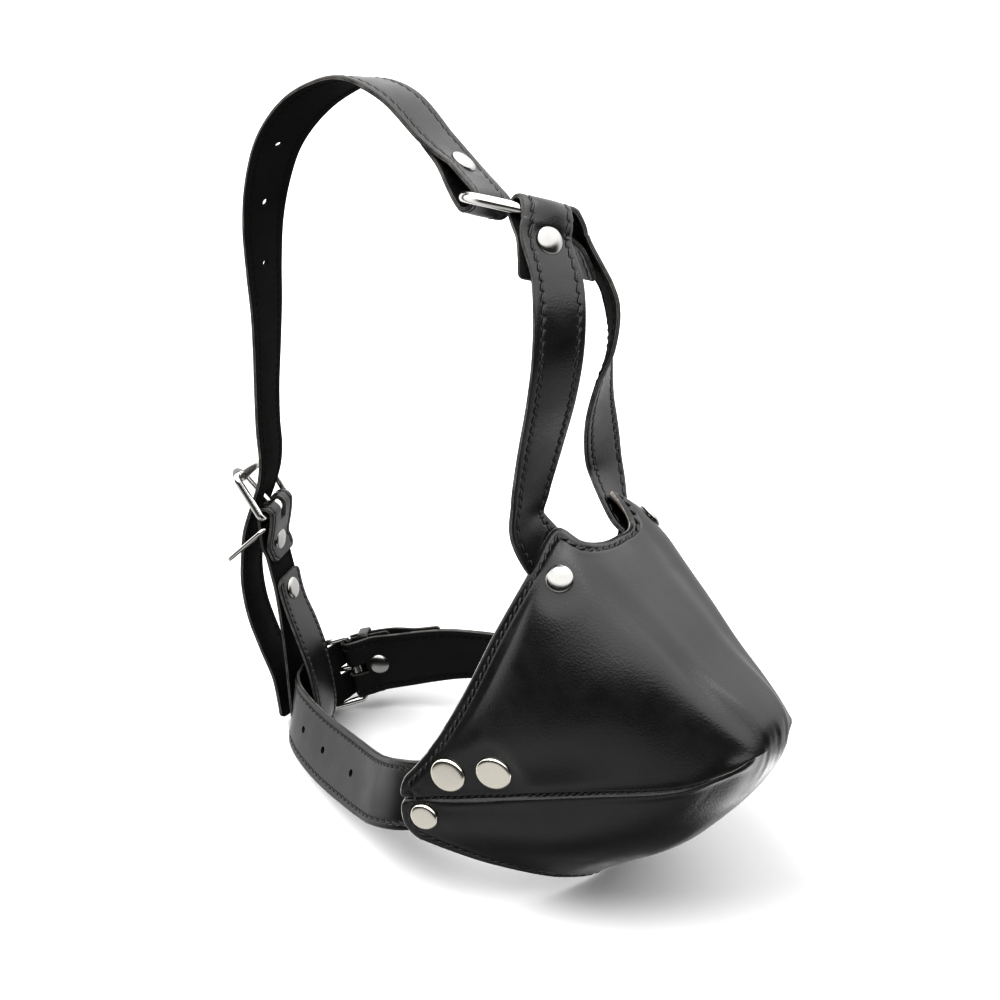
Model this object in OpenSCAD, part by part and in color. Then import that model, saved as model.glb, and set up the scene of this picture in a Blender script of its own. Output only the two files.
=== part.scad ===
// Closed leather muzzle with a head harness.
// Front of the cup is -Y, the wearer's right hand side is -X, +Z is up.
// It stands as it would on a table: on the chin of the cup and on the rear loop.

/* [Straps] */
// Width of the head strap and the rear strap
head_w = 18; // [17:0.5:19]
// Width of the two nose straps
nose_w = 18; // [17:0.5:19]
// Width of the neck straps
neck_w = 25; // [24:0.5:26]
// Thickness of a strap, two sewn layers
strap_t = 1.8; // [1.5:0.1:1.9]
// Diameter of a punched hole
hole_d = 2.8; // [2.2:0.2:3.4]

/* [Cup] */
// Thickness of the outer leather
shell_t = 1.3; // [1:0.1:1.5]
// Thickness of the lining
lining_t = 0.9; // [0.6:0.1:1]

/* [Hardware] */
// Radius of the forehead ring, to the middle of its wire
ring_r = 16.5; // [16:0.25:17]
// Diameter of the ring's wire
ring_wire = 3.6; // [3:0.1:3.8]
// Diameter of the buckle wire
buckle_wire = 3; // [2.6:0.1:3.2]
// Outside diameter of the buckle rollers
roller_d = 6; // [5.4:0.2:6.2]
// Diameter of the prong wire
prong_wire = 2.2; // [1.8:0.1:2.4]
// Diameter of the keeper wire
keeper_wire = 1.8; // [1.5:0.1:1.9]
// Diameter of the large cheek caps
cap_large = 12.5; // [11:0.5:13]
// Diameter of the small cheek caps
cap_small = 10; // [9:0.5:10.5]
// Diameter of the other rivet caps
cap_strap = 9; // [8:0.5:9.5]

/* [Hidden] */
$fn = 48;

leather = [0.07, 0.07, 0.075];
suede = [0.12, 0.12, 0.12];
nickel = [0.82, 0.81, 0.78];

// The middle of the footprint is the origin
shift = [-0.2, -9.3, -0.4];

// ---------- vectors and curves ----------
function unit(v) = v / norm(v);
function perp(v, t) = unit(v - t * (v * t));
function cub(a, b, c, d, t) = 0.5 * (2 * b + (c - a) * t + (2 * a - 5 * b + 4 * c - d) * t * t
  + (3 * b - a - 3 * c + d) * t * t * t);
// Smooth curve through the points P at s = 0 .. len - 1
function curve(P, s) = let (n = len(P) - 1, i = min(n - 1, max(0, floor(s))), t = s - i,
  a = i == 0 ? 2 * P[0] - P[1] : P[i - 1], d = i == n - 1 ? 2 * P[n] - P[n - 1] : P[i + 2])
  cub(a, P[i], P[i + 1], d, t);
function steps(n, m) = [for (i = [0 : n * m]) i / m];

// A strap's control points are [[x, y, z], [width direction]]
function s_pos(K, s) = curve([for (k = K) k[0]], s);
function s_tan(K, s) = let (e = 0.01, n = len(K) - 1)
  unit(s_pos(K, min(n, s + e)) - s_pos(K, max(0, s - e)));
function s_wid(K, s) = perp(curve([for (k = K) k[1]], s), s_tan(K, s));
// Face direction: the outer face of every strap
function s_out(K, s) = cross(s_wid(K, s), s_tan(K, s));

// A fold around a bar: from the end of the flap, over the bar, to the start of the strap.
// c: bar, w: along the bar, away: the way the strap leaves, r: radius of the loop,
// flap: length of the flap, qf and qm: where flap and strap lie across the bar's middle,
// close: distance from the bar at which the two layers meet, lift: how far the flap's end stands off
function fold(c, w, away, r, flap, qf, qm, close, lift = 0) = let (out = cross(w, away)) [
  [c + away * flap + out * (qf - lift), w],
  [c + away * (flap + close) / 2 + out * (qf - lift / 2), w],
  [c + away * close + out * qf, w],
  [c + away * close * 0.45 + out * (qf * 0.35 - r * 0.65), w],
  [c - out * r, w],
  [c - (out + away) * r * 0.7071, w],
  [c - away * r, w],
  [c + (out - away) * r * 0.7071, w],
  [c + out * r, w],
  [c + away * close * 0.45 + out * (qm * 0.35 + r * 0.65), w],
  [c + away * close + out * qm, w]];
// How much of the bar's own bend the strap takes up, 1 in the fold and 0 past it
function bend_at(s) = s < 4 ? max(0, (s - 1) / 3) : s > 8 ? max(0, (11 - s) / 3) : 1;

// Flat strap swept along its control points, sections given by X across the width
module strap(K, width, thick, m = 4, X = [-1, 1], bow = [0, 0, 0], tip = 0) {
  n = len(K) - 1; k = len(X);
  rings = [for (s = steps(n, m)) let (p = s_pos(K, s), w = s_wid(K, s), o = s_out(K, s) * thick / 2,
      h = width / 2 * (n - s < tip ? sqrt(max(0.1, 1 - pow(1 - (n - s) / tip, 2))) : 1), b = bow * bend_at(s))
    concat([for (x = X) p + w * h * x + b * x * x - o], [for (x = X) p - w * h * x + b * x * x + o])];
  skin(rings, k);
}

// Closed skin over sections of 2 k points: k along one face, then k back along the other
module skin(rings, k) {
  n = len(rings); c = 2 * k; e = c * (n - 1);
  pts = [for (r = rings) each r];
  faces = concat(
    [for (j = [0 : k - 2]) each [[j, c - 2 - j, j + 1], [j, c - 1 - j, c - 2 - j]]],
    [for (i = [0 : n - 2], j = [0 : c - 1]) let (a = c * i + j, b = c * i + (j + 1) % c) each
      [[a, b + c, a + c], [a, b, b + c]]],
    [for (j = [0 : k - 2]) each [[e + j, e + j + 1, e + c - 2 - j], [e + j, e + c - 2 - j, e + c - 1 - j]]]);
  polyhedron(pts, faces, convexity = 10);
}

// Puts children at p with +Z along z and +X near x
module frame_at(p, z, x) {
  zz = unit(z); xx = perp(x, zz); yy = cross(zz, xx);
  multmatrix([[xx[0], yy[0], zz[0], p[0]], [xx[1], yy[1], zz[1], p[1]],
    [xx[2], yy[2], zz[2], p[2]], [0, 0, 0, 1]]) children();
}
module place() translate(shift) children();

// Rivet: cap on +Z at z = 0, post through the layers, back plate at z = -grip
module rivet(cap, grip, dome) {
  rotate_extrude() polygon([[0, dome], [cap * 0.2, dome * 0.92], [cap * 0.36, dome * 0.66],
    [cap * 0.46, dome * 0.36], [cap * 0.5, 0.2], [cap * 0.5, 0.05], [1.45, 0.05], [1.45, -grip - 0.05],
    [cap * 0.4, -grip - 0.05], [cap * 0.4, -grip - 0.3], [cap * 0.3, -grip - 0.9], [0, -grip - 0.9]]);
}
module flat_rivet(cap, grip) {
  rotate_extrude() polygon([[0, 1.2], [cap * 0.42, 1.1], [cap * 0.47, 0.9], [cap * 0.5, 0.5],
    [cap * 0.5, 0.05], [1.45, 0.05], [1.45, -grip - 0.05], [cap * 0.4, -grip - 0.05],
    [cap * 0.4, -grip - 0.4], [cap * 0.3, -grip - 0.9], [0, -grip - 0.9]]);
}
module post_hole(deep = 12) { translate([0, 0, -deep]) cylinder(r = 1.55, h = deep + 4); }

// ---------- cup ----------
// Rows from the upper rim over the nose and front to the lower rim, near cheek to far cheek
rim = [[-56, 0, 53], [-50.5, -8, 66], [-44, -17, 87], [-36, -25, 112], [-27.7, -32.5, 133.5],
  [-16.7, -34.5, 145.5], [-13, -43, 142.5], [-5, -44.5, 139], [5, -44, 136.5], [14, -43.5, 137],
  [16.7, -34.5, 145.5], [27.7, -32.5, 133.5], [36, -25, 112], [44, -17, 87], [50.5, -8, 66], [56, 0, 53]];
brow = [[-56.7, -0.5, 51], [-51.5, -11, 62], [-45.5, -25, 80], [-39, -36, 105], [-32, -42, 125],
  [-24, -47, 135], [-15, -50, 136.5], [-5, -53, 134], [5, -53, 133], [15, -50.5, 134],
  [24, -47, 135], [32, -42, 125], [39, -36, 105], [45.5, -25, 80], [51.5, -11, 62], [56.7, -0.5, 51]];
mid = [[-57, -0.5, 48.5], [-51.5, -14, 56], [-45, -32, 70], [-37.5, -52, 86], [-29, -67, 101],
  [-20, -77, 111], [-12, -81, 112], [-4, -82, 111.5], [4, -82, 111.5], [12, -81, 112],
  [20, -77, 111], [29, -67, 101], [37.5, -52, 86], [45, -32, 70], [51.5, -14, 56], [57, -0.5, 48.5]];
front = [[-57, 0, 46], [-51, -16, 51], [-43, -38, 57.5], [-33.5, -65, 65.5], [-23, -92, 74],
  [-15, -107, 85], [-9, -111, 87.5], [-3, -112.5, 88], [3, -112.5, 88], [9, -111, 87.5],
  [15, -107, 85], [23, -92, 74], [33.5, -65, 65.5], [43, -38, 57.5], [51, -16, 51], [57, 0, 46]];
chin = [[-57.2, -1, 39.5], [-53, -14, 39], [-45, -33, 39], [-35, -55, 40], [-24, -74, 43],
  [-14, -86, 44], [-8.5, -89, 43], [-3, -90, 42.5], [3, -90, 42.5], [8.5, -89, 43],
  [14, -86, 44], [24, -74, 43], [35, -55, 40], [45, -33, 39], [53, -14, 39], [57.2, -1, 39.5]];
sole = [[-57, -2, 32], [-52, -11, 27.5], [-43, -24, 21], [-32, -34, 14], [-22, -40.5, 8],
  [-13, -45, 4], [-8, -47, 2.5], [-3, -48, 2], [3, -48, 2], [8, -47, 2.5],
  [13, -45, 4], [22, -40.5, 8], [32, -34, 14], [43, -24, 21], [52, -11, 27.5], [57, -2, 32]];
rows = [rim, brow, mid, front, chin, sole];
cols = len(rim) - 1;
// The dart leaves a crease on each cheek; it fades out towards the front
function crease(u) = max(0, min(1, (6.4 - min(u, cols - u)) / 1.8));
function cup(u, v) = let (P = [for (r = rows) curve(r, u)], k = crease(u),
  A = curve(P, v), B = v < 3 ? curve([P[0], P[1], P[2], P[3]], v) : curve([P[3], P[4], P[5]], v - 3))
  A * (1 - k) + B * k;
function cup_n(u, v) = let (e = 0.02)
  unit(cross(cup(min(cols, u + e), v) - cup(max(0, u - e), v), cup(u, min(5, v + e)) - cup(u, max(0, v - e))));
// Point at a depth under the outer face
function cup_in(u, v, d) = cup(u, v) + cup_n(u, v) * d;

mu = 3; mv = 4;
module cup_skin(d0, d1) {
  U = steps(cols, mu); V = steps(5, mv); nu = len(U); nv = len(V); k = nu * nv;
  pts = concat([for (u = U, v = V) cup_in(u, v, d0)], [for (u = U, v = V) cup_in(u, v, d1)]);
  faces = concat(
    [for (i = [0 : nu - 2], j = [0 : nv - 2]) let (a = i * nv + j, b = a + nv) each
      [[a, b, b + 1], [a, b + 1, a + 1], [k + a, k + b + 1, k + b], [k + a, k + a + 1, k + b + 1]]],
    [for (i = [0 : nu - 2]) let (a = i * nv, b = a + nv, c = a + nv - 1, d = c + nv) each
      [[a, k + b, b], [a, k + a, k + b], [c, d, k + d], [c, k + d, k + c]]],
    [for (j = [0 : nv - 2]) let (a = j, b = j + 1, c = (nu - 1) * nv + j, d = c + 1) each
      [[a, b, k + b], [a, k + b, k + a], [c, k + d, d], [c, k + c, k + d]]]);
  polyhedron(pts, faces, convexity = 10);
}
// Rivet places on the cup as [u, v]
large_at = [[1.2, 1.8], [1.9, 2.35]];
small_at = [[0.65, 3.8]];
ear_at = [[4.7, 0.9]];
function both(L) = concat(L, [for (a = L) [cols - a[0], a[1]]]);
module on_cup(L) for (a = both(L)) frame_at(cup(a[0], a[1]), -cup_n(a[0], a[1]), [0, 0, 1]) children();
module cup_holes() { on_cup(large_at) post_hole(); on_cup(small_at) post_hole(); on_cup(ear_at) post_hole(); }

module cup_outer() color(leather) place() difference() { cup_skin(0, shell_t); cup_holes(); }
module cup_lining() color(suede) place() difference() {
  cup_skin(shell_t + 0.03, shell_t + 0.03 + lining_t); cup_holes(); }
module cheek_rivets_large() color(nickel) place() on_cup(large_at) flat_rivet(cap_large, 6.4);
module cheek_rivets_small() color(nickel) place() on_cup(small_at) flat_rivet(cap_small, 6.4);
module ear_rivets() color(nickel) place() on_cup(ear_at) rivet(cap_strap, 7.6, 1.7);

// ---------- forehead ring ----------
ring_c = [0, -6.5, 240.5];
ring_tilt = 21;
ring_e = [cos(ring_tilt), 0, -sin(ring_tilt)];
ring_n = [sin(ring_tilt), 0, cos(ring_tilt)];
function ring_pt(a) = ring_c + ring_r * (cos(a) * ring_e + sin(a) * [0, 1, 0]);
function ring_rad(a) = cos(a) * ring_e + sin(a) * [0, 1, 0];
function ring_dir(a) = -sin(a) * ring_e + cos(a) * [0, 1, 0];
module forehead_ring() color(nickel) place() frame_at(ring_c, ring_n, ring_e)
  rotate_extrude($fn = 72) translate([ring_r, 0]) circle(d = ring_wire, $fn = 24);

// ---------- nose straps ----------
fold_r = ring_wire / 2 + 0.8 + strap_t / 2;
fold_x = [-1, -0.5, 0, 0.5, 1];
function ring_bow(a, w) = -ring_rad(a) * w * w / 7.3 / ring_r;
ln_a = -114;
ln_w = -ring_dir(ln_a);
ln_away = perp([-0.41, -0.5, -0.76], ln_w);
left_nose = concat(fold(ring_pt(ln_a), ln_w, ln_away, fold_r, 21, -1.6, 0.6, 9, 1.2), [
  [[-14, -32, 227.5], [-0.91, 0.37, 0.2]],
  [[-17.7, -35.8, 218], [-0.91, 0.38, 0.15]],
  [[-20.2, -37.2, 205], [-0.93, 0.36, 0.1]],
  [[-21, -35.5, 190], [-0.95, 0.31, 0.1]],
  [[-21.5, -32, 173], [-0.97, 0.2, 0.1]],
  [[-23, -29.8, 158], [-0.99, 0.05, 0.12]],
  [[-24.3, -29.8, 147.5], [-0.97, -0.05, -0.1]],
  [[-19.6, -35.2, 135.5], [-0.92, 0.25, -0.36]],
  [[-20.6, -42.5, 129.8], [-0.92, 0.25, -0.36]],
  [[-20, -50.5, 124.5], [-0.92, 0.25, -0.36]]]);
rn_a = -30.5;
rn_w = -ring_dir(rn_a);
rn_away = perp([0.25, -0.6, -0.76], rn_w);
right_nose = concat(fold(ring_pt(rn_a), rn_w, rn_away, fold_r, 19, -2.4, 0.6, 9, 2.6), [
  [[19.8, -26.4, 216.1], [-0.62, -0.77, 0.12]],
  [[19.7, -29.8, 208.2], [-0.68, -0.73, 0]],
  [[18.8, -30.8, 198.2], [-0.8, -0.57, -0.14]],
  [[18.7, -28.4, 186.1], [-0.92, -0.32, -0.24]],
  [[20.5, -26, 172], [-0.96, -0.1, -0.24]],
  [[24, -25, 158], [-0.98, 0.05, -0.15]],
  [[24.7, -26.8, 147.5], [-0.99, 0, 0.05]],
  [[19.8, -35.4, 135.8], [-0.92, -0.25, 0.28]],
  [[20.6, -42.5, 130], [-0.92, -0.25, 0.28]],
  [[19.8, -50.5, 124.6], [-0.92, -0.25, 0.28]]]);
module on_strap(K, s, side = 1) frame_at(s_pos(K, s) + s_out(K, s) * side * strap_t / 2, s_out(K, s) * side, s_wid(K, s)) children();
ln_rivet = 10;
rn_rivet = 10;
module nose_strap_left() color(leather) place() difference() {
  strap(left_nose, nose_w, strap_t, 3, fold_x, ring_bow(ln_a, nose_w), 2.4);
  on_cup(ear_at) post_hole();
  on_strap(left_nose, ln_rivet) post_hole(8);
}
module nose_strap_right() color(leather) place() difference() {
  strap(right_nose, nose_w, strap_t, 3, fold_x, ring_bow(rn_a, nose_w), 2.4);
  on_cup(ear_at) post_hole();
  on_strap(right_nose, rn_rivet) post_hole(8);
}
module nose_strap_rivets() color(nickel) place() {
  on_strap(left_nose, ln_rivet) rivet(cap_strap, strap_t * 2 + 0.45, 1.7);
  on_strap(right_nose, rn_rivet) rivet(cap_strap, strap_t * 2 + 0.9, 1.7);
}

// ---------- head strap ----------
hs_a = 85;
hs_w = -ring_dir(hs_a);
hs_away = perp([0.12, 0.8, 0.58], hs_w);
head_path = concat(fold(ring_pt(hs_a), hs_w, hs_away, fold_r, 32, -0.9, 2.2, 15), [
  [[5.2, 29.8, 256.5], [0.97, -0.06, -0.2]],
  [[4.5, 44.1, 267.5], [1, -0.04, -0.1]],
  [[3.5, 60, 271], [0.98, -0.07, -0.18]],
  [[4, 75, 266], [0.94, -0.15, -0.28]],
  [[3.5, 88, 257.5], [0.92, -0.23, -0.33]],
  [[2, 98, 245.5], [0.93, -0.25, -0.26]],
  [[1, 104, 231], [0.97, -0.2, -0.15]],
  [[0, 106.8, 216], [0.99, -0.08, -0.04]],
  [[0, 108, 200], [1, 0.06, 0.03]],
  [[1, 109.5, 183], [0.98, 0.17, 0.04]],
  [[1.5, 111.5, 166], [0.97, 0.25, 0]],
  [[0.5, 112.2, 150], [0.94, 0.31, -0.1]],
  [[-1, 111.5, 136], [0.94, 0.33, -0.08]],
  [[-1.5, 110.8, 125], [0.94, 0.34, 0]],
  [[-2, 111.8, 116], [0.94, 0.34, 0]],
  [[-2.5, 115, 107], [0.94, 0.34, 0]],
  [[-3, 118.6, 98.5], [0.94, 0.34, 0]],
  [[-3.8, 121.3, 90], [0.94, 0.34, 0]],
  [[-4.3, 123, 79], [0.94, 0.34, 0]],
  [[-4, 125, 66], [0.93, 0.37, 0]],
  [[-3.2, 124.2, 51], [0.92, 0.39, 0]],
  [[-2.5, 119.5, 37], [0.92, 0.4, 0]],
  [[-2, 113.8, 24], [0.92, 0.4, 0]],
  [[-2.5, 110.8, 12], [0.93, 0.37, 0]],
  [[-2.5, 110.3, 4], [0.93, 0.37, 0]]]);
hs_holes = [16.05, 17.5, 18.95];
hs_prong = 26.25;
hs_rivet = 9.9;
module prong_hole() for (y = [-1.3, 0, 1.3]) translate([0, y, -5]) cylinder(d = 4, h = 8);
module head_strap() color(leather) place() difference() {
  strap(head_path, head_w, strap_t, 3, fold_x, ring_bow(hs_a, head_w), 0.6);
  on_strap(head_path, hs_rivet) post_hole(8);
  for (s = hs_holes) on_strap(head_path, s) translate([0, 0, -4]) cylinder(d = hole_d, h = 6);
  on_strap(head_path, hs_prong) prong_hole();
}
module head_strap_rivet() color(nickel) place() on_strap(head_path, hs_rivet) rivet(cap_strap, strap_t * 2 + 1.2, 1.7);

// ---------- rear: buckle, keeper and rear strap ----------
rear_w = [0.94, 0.34, 0] / norm([0.94, 0.34, 0]);
rear_out = [-rear_w[1], rear_w[0], 0];
heel = [-1, 111.5, 100.5];
frame_a = 30;
hb_v = rear_out * sin(frame_a) + [0, 0, cos(frame_a)];
hb_q = rear_out * cos(frame_a) - [0, 0, sin(frame_a)];
hb_len = 19;
module at_head_buckle() frame_at(heel, hb_q, -rear_w) children();

// Buckle parts in their own frame: heel bar along X at y = 0, roller at y = length, outer face +Z.
module bar(a, b, d) { v = b - a; frame_at(a, v, abs(v[2]) > 0.9 * norm(v) ? [1, 0, 0] : [0, 0, 1]) cylinder(d = d, h = norm(v)); }
module bend(c, d, x0, y0) translate(c) scale([x0, y0, 1]) children();
module buckle_frame(inner, len) {
  hw = inner / 2 + buckle_wire / 2; r = 2; w = buckle_wire;
  bar([-hw + r, 0, 0], [hw - r, 0, 0], w);
  bar([-hw + r, len, 0], [hw - r, len, 0], w);
  for (sx = [-1, 1]) {
    bar([sx * hw, r, 0], [sx * hw, len - r, 0], w);
    for (e = [0, 1]) translate([sx * (hw - r), e == 0 ? r : len - r, 0])
      rotate([0, 0, e == 0 ? (sx > 0 ? -90 : 180) : (sx > 0 ? 0 : 90)])
        rotate_extrude(angle = 90) translate([r, 0]) circle(d = w, $fn = 24);
  }
}
module buckle_roller(inner, len) translate([-inner / 2 + 1.2, len, 0]) rotate([0, 90, 0])
  difference() { cylinder(d = roller_d, h = inner - 2.4);
    translate([0, 0, -1]) cylinder(d = buckle_wire + 0.16, h = inner); }
// Prong: eye around the heel bar and a straight tongue that lies on the roller
module buckle_prong(len) {
  e = buckle_wire / 2 + 0.06; t = prong_wire; h = t + 0.6; tip = [0, len + 2.4, roller_d / 2 + t / 2 + 0.9];
  rotate([0, 90, 0]) translate([0, 0, -h / 2]) difference() { cylinder(r = e + 1.4, h = h);
    translate([0, 0, -1]) cylinder(r = e, h = h + 2); }
  a = [0, e + 0.75, 1.1]; n = norm(tip - a);
  frame_at(a, tip - a, [1, 0, 0]) rotate_extrude() polygon([[0, 0], [t / 2, 0], [t / 2, n - 1.6],
    [t * 0.44, n - 0.9], [t * 0.3, n - 0.3], [0, n]]);
}
module head_buckle_frame() color(nickel) place() at_head_buckle() buckle_frame(20, hb_len);
module head_buckle_roller() color(nickel) place() at_head_buckle() buckle_roller(20, hb_len);
module head_buckle_prong() color(nickel) place() at_head_buckle() buckle_prong(hb_len);

// Keeper: a wire rectangle whose inner bar lies in the fold of the rear strap
keep_c = heel + rear_out * 0.35 - [0, 0, 5.3];
keep_v = perp([-2.5, 16.2, -15.8], rear_w);
keep_len = 22.6;
keep_w = 21;
module wire_keeper() color(nickel) place() frame_at(keep_c, cross(rear_w, keep_v), rear_w) {
  w = keeper_wire; hw = keep_w / 2 + w / 2; r = 2;
  for (y = [0, keep_len]) bar([-hw + r, y, 0], [hw - r, y, 0], w);
  for (sx = [-1, 1]) {
    bar([sx * hw, r, 0], [sx * hw, keep_len - r, 0], w);
    for (e = [0, 1]) translate([sx * (hw - r), e == 0 ? r : keep_len - r, 0])
      rotate([0, 0, e == 0 ? (sx > 0 ? -90 : 180) : (sx > 0 ? 0 : 90)])
        rotate_extrude(angle = 90) translate([r, 0]) circle(d = w, $fn = 24);
  }
}

bar_r = buckle_wire / 2 + 0.35 + strap_t / 2;
back_w = [0.93, 0.33, -0.15];
back_path = concat(fold(heel, rear_w, [0, 0, -1], bar_r, 21, -0.3, 2.1, 14, 2), [
  [[-1, 112.2, 81], back_w],
  [[-0.5, 111, 74], back_w], [[0, 109.4, 64], back_w], [[0, 108, 50], back_w],
  [[0, 107, 34], rear_w], [[0, 106.6, 18], rear_w], [[0, 106, 8], rear_w],
  [[0, 103, 3], rear_w], [[0, 97.5, 1.9], rear_w], [[0, 93, 4.4], rear_w], [[0, 91.2, 11], rear_w],
  [[0, 91.7, 22], rear_w], [[0, 94.5, 35], rear_w], [[0, 99.8, 48], rear_w],
  [[0, 104.8, 58], back_w], [[0, 107, 65], back_w], [[0, 108, 71], back_w]]);
back_rivets = [1.9, 25.9];
module back_strap() color(leather) place() difference() {
  strap(back_path, head_w, strap_t, 3);
  for (s = back_rivets) on_strap(back_path, s) post_hole(8);
  // Slot for the prong's eye
  frame_at(heel, [0, 0, 1], rear_w) translate([-2.2, -9, -4.5]) cube([4.4, 18, 14]);
}
module back_strap_rivets() color(nickel) place() for (s = back_rivets) on_strap(back_path, s) rivet(cap_strap, strap_t * 2 + 0.7, 1.5);

// ---------- neck straps ----------
// The strap leaves the heel bar along nb_t; the buckle's frame lies along nf_t
nb_t = unit([0.5, -0.82, 0.27]);
nb_w = perp([-0.05, 0.28, 0.96], nb_t);
nb_out = cross(nb_w, nb_t);
nf_t = perp([0.68, -0.7, 0.12], nb_w);
nb_heel = [22, 93.4, 19.8];
nb_len = 14.5;
module at_neck_buckle() frame_at(nb_heel, cross(nb_w, nf_t), -nb_w) children();
// p: along the frame from the heel bar to the roller, q: outwards
function nb(p, q) = nb_heel - nf_t * p + cross(nb_w, nf_t) * q;
// A strap inside the cheek: a straight chord under the lining from v1 to v2
function chord(u, v1, v2, k = 1, more = 0) = let (d = shell_t + lining_t + strap_t / 2 + 0.25 + more,
  a = cup_in(u, v1, d), b = cup_in(u, v2, d)) [(a + b) / 2, unit(a - b) * k];
left_neck = [chord(2.6, 1.9, 3.95), chord(1.95, 1.75, 4), chord(1.3, 1.5, 4.1, 1, 0.5), chord(0.65, 1, 4.3, 1, 1.3),
  [[-52.3, 4.5, 42.5], [0.3, 0.28, 0.9]],
  [[-49.5, 17, 36.5], [0.46, 0.16, 0.87]],
  [[-44.5, 28, 31.5], [0.5, 0.1, 0.86]],
  [[-39.5, 40, 27.8], [0.51, 0.04, 0.86]],
  [[-35, 51.5, 24.8], [0.5, 0, 0.87]],
  [[-30.5, 63, 22.3], [0.45, -0.03, 0.89]],
  [[-26, 74, 20.7], [0.4, -0.05, 0.92]],
  [[-21.3, 84, 19.5], [0.33, -0.07, 0.94]],
  [[-16, 92.5, 18.5], [0.25, -0.05, 0.97]],
  [[-9, 99, 17.2], [0.17, 0, 0.99]],
  [[-1.5, 101.5, 16], [0.08, 0.09, 0.99]],
    [nb(13.8, -5.4), nb_w],
  [nb(8.3, -0.6), nb_w],
  [nb(3, 4.2), nb_w],
  [nb_heel + nb_t * 3 + nb_out * 6, nb_w],
  [nb_heel + nb_t * 11 + nb_out * 6.2, nb_w],
  [nb_heel + nb_t * 20 + nb_out * 5.4, [-0.11, 0.3, 0.94]],
  [[38.5, 69, 27.8], [-0.13, 0.28, 0.95]],
  [[42.5, 60.5, 30.4], [-0.13, 0.2, 0.96]]];
ln_holes = [6.8, 8.85, 10.5, 12.2];
ln_prong = 16.5;
module neck_strap_left() color(leather) place() difference() {
  strap(left_neck, neck_w, strap_t, 3);
  cup_holes();
  for (s = ln_holes) on_strap(left_neck, s) translate([0, 0, -4]) cylinder(d = hole_d, h = 6);
  on_strap(left_neck, ln_prong) prong_hole();
}
right_neck = concat(fold(nb_heel, -nb_w, nb_t, bar_r, 17, -3.3, 0, 10), [
  [[31.5, 75, 26], [0.12, -0.29, -0.95]],
  [[36, 65, 29.4], [0.13, -0.21, -0.97]],
  [[41, 55, 31.8], [0.15, -0.12, -0.98]],
  [[46, 43, 33.5], [0.2, -0.05, -0.98]],
  [[50, 30, 35.5], [0.3, -0.08, -0.95]],
  [[52.3, 18, 38], [0.36, -0.15, -0.92]],
  [[52.3, 5, 42.3], [0.3, -0.28, -0.9]],
  chord(cols - 0.65, 1, 4.3, -1, 1.3), chord(cols - 1.3, 1.5, 4.1, -1, 0.5),
  chord(cols - 1.95, 1.75, 4, -1), chord(cols - 2.6, 1.9, 3.95, -1)]);
rn2_rivet = 10;
module neck_strap_right() color(leather) place() difference() {
  strap(right_neck, neck_w, strap_t, 3);
  cup_holes();
  on_strap(right_neck, rn2_rivet) post_hole(9);
  // Slot for the prong's eye
  at_neck_buckle() translate([-2.3, -4.5, -9]) cube([4.6, 14, 18]);
}
module neck_buckle_rivet() color(nickel) place() on_strap(right_neck, rn2_rivet) rivet(cap_strap, strap_t + 3.35, 1.5);
module neck_buckle_frame() color(nickel) place() at_neck_buckle() buckle_frame(neck_w + 1.4, nb_len);
module neck_buckle_roller() color(nickel) place() at_neck_buckle() buckle_roller(neck_w + 1.4, nb_len);
module neck_buckle_prong() color(nickel) place() at_neck_buckle() buckle_prong(nb_len);
// Keeper: a flat loop round the tail, caught between the two layers of the fold
module neck_keeper() color(leather) place()
  frame_at(nb_heel + nb_t * 6 + nb_out * 4.55, nb_t, nb_out) translate([0, 0, -2.2]) difference() {
    loop_block(7.6, neck_w + 3.2, 4.4); translate([0, 0, -1]) loop_block(5.4, neck_w + 1, 6.4); }
module loop_block(a, b, h) linear_extrude(h) offset(r = 0.8, $fn = 24) square([a - 1.6, b - 1.6], center = true);

cup_outer();
cup_lining();
cheek_rivets_large();
cheek_rivets_small();
ear_rivets();
nose_strap_left();
nose_strap_right();
nose_strap_rivets();
forehead_ring();
head_strap();
head_strap_rivet();
back_strap();
back_strap_rivets();
head_buckle_frame();
head_buckle_roller();
head_buckle_prong();
wire_keeper();
neck_strap_left();
neck_strap_right();
neck_buckle_frame();
neck_buckle_roller();
neck_buckle_prong();
neck_keeper();
neck_buckle_rivet();
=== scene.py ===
import bpy, bmesh, math
import numpy as np
from mathutils import Matrix, Vector
from mathutils.kdtree import KDTree


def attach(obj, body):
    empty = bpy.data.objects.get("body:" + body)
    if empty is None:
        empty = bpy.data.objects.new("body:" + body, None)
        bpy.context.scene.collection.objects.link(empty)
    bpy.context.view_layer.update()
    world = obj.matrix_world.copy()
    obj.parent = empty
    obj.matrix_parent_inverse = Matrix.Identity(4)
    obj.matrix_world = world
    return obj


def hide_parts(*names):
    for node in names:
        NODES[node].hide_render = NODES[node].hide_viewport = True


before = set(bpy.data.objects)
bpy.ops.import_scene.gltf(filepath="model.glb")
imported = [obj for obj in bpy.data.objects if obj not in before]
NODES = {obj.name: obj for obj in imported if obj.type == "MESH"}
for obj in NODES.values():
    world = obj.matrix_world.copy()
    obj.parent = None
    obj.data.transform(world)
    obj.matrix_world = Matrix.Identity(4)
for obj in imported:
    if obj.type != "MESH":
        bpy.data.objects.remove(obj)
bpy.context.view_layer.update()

MM = 0.001
SHIFT = np.array([-0.2, -9.3, -0.4])
STRAP_T, SHELL_T, LINING_T = 1.8, 1.3, 0.9


# ------------------------------------------------------------------ vectors and curves
def V(*a):
    return np.array(a, float)


def unit(v):
    v = np.asarray(v, float)
    return v / np.linalg.norm(v, axis=-1, keepdims=True)


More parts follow.
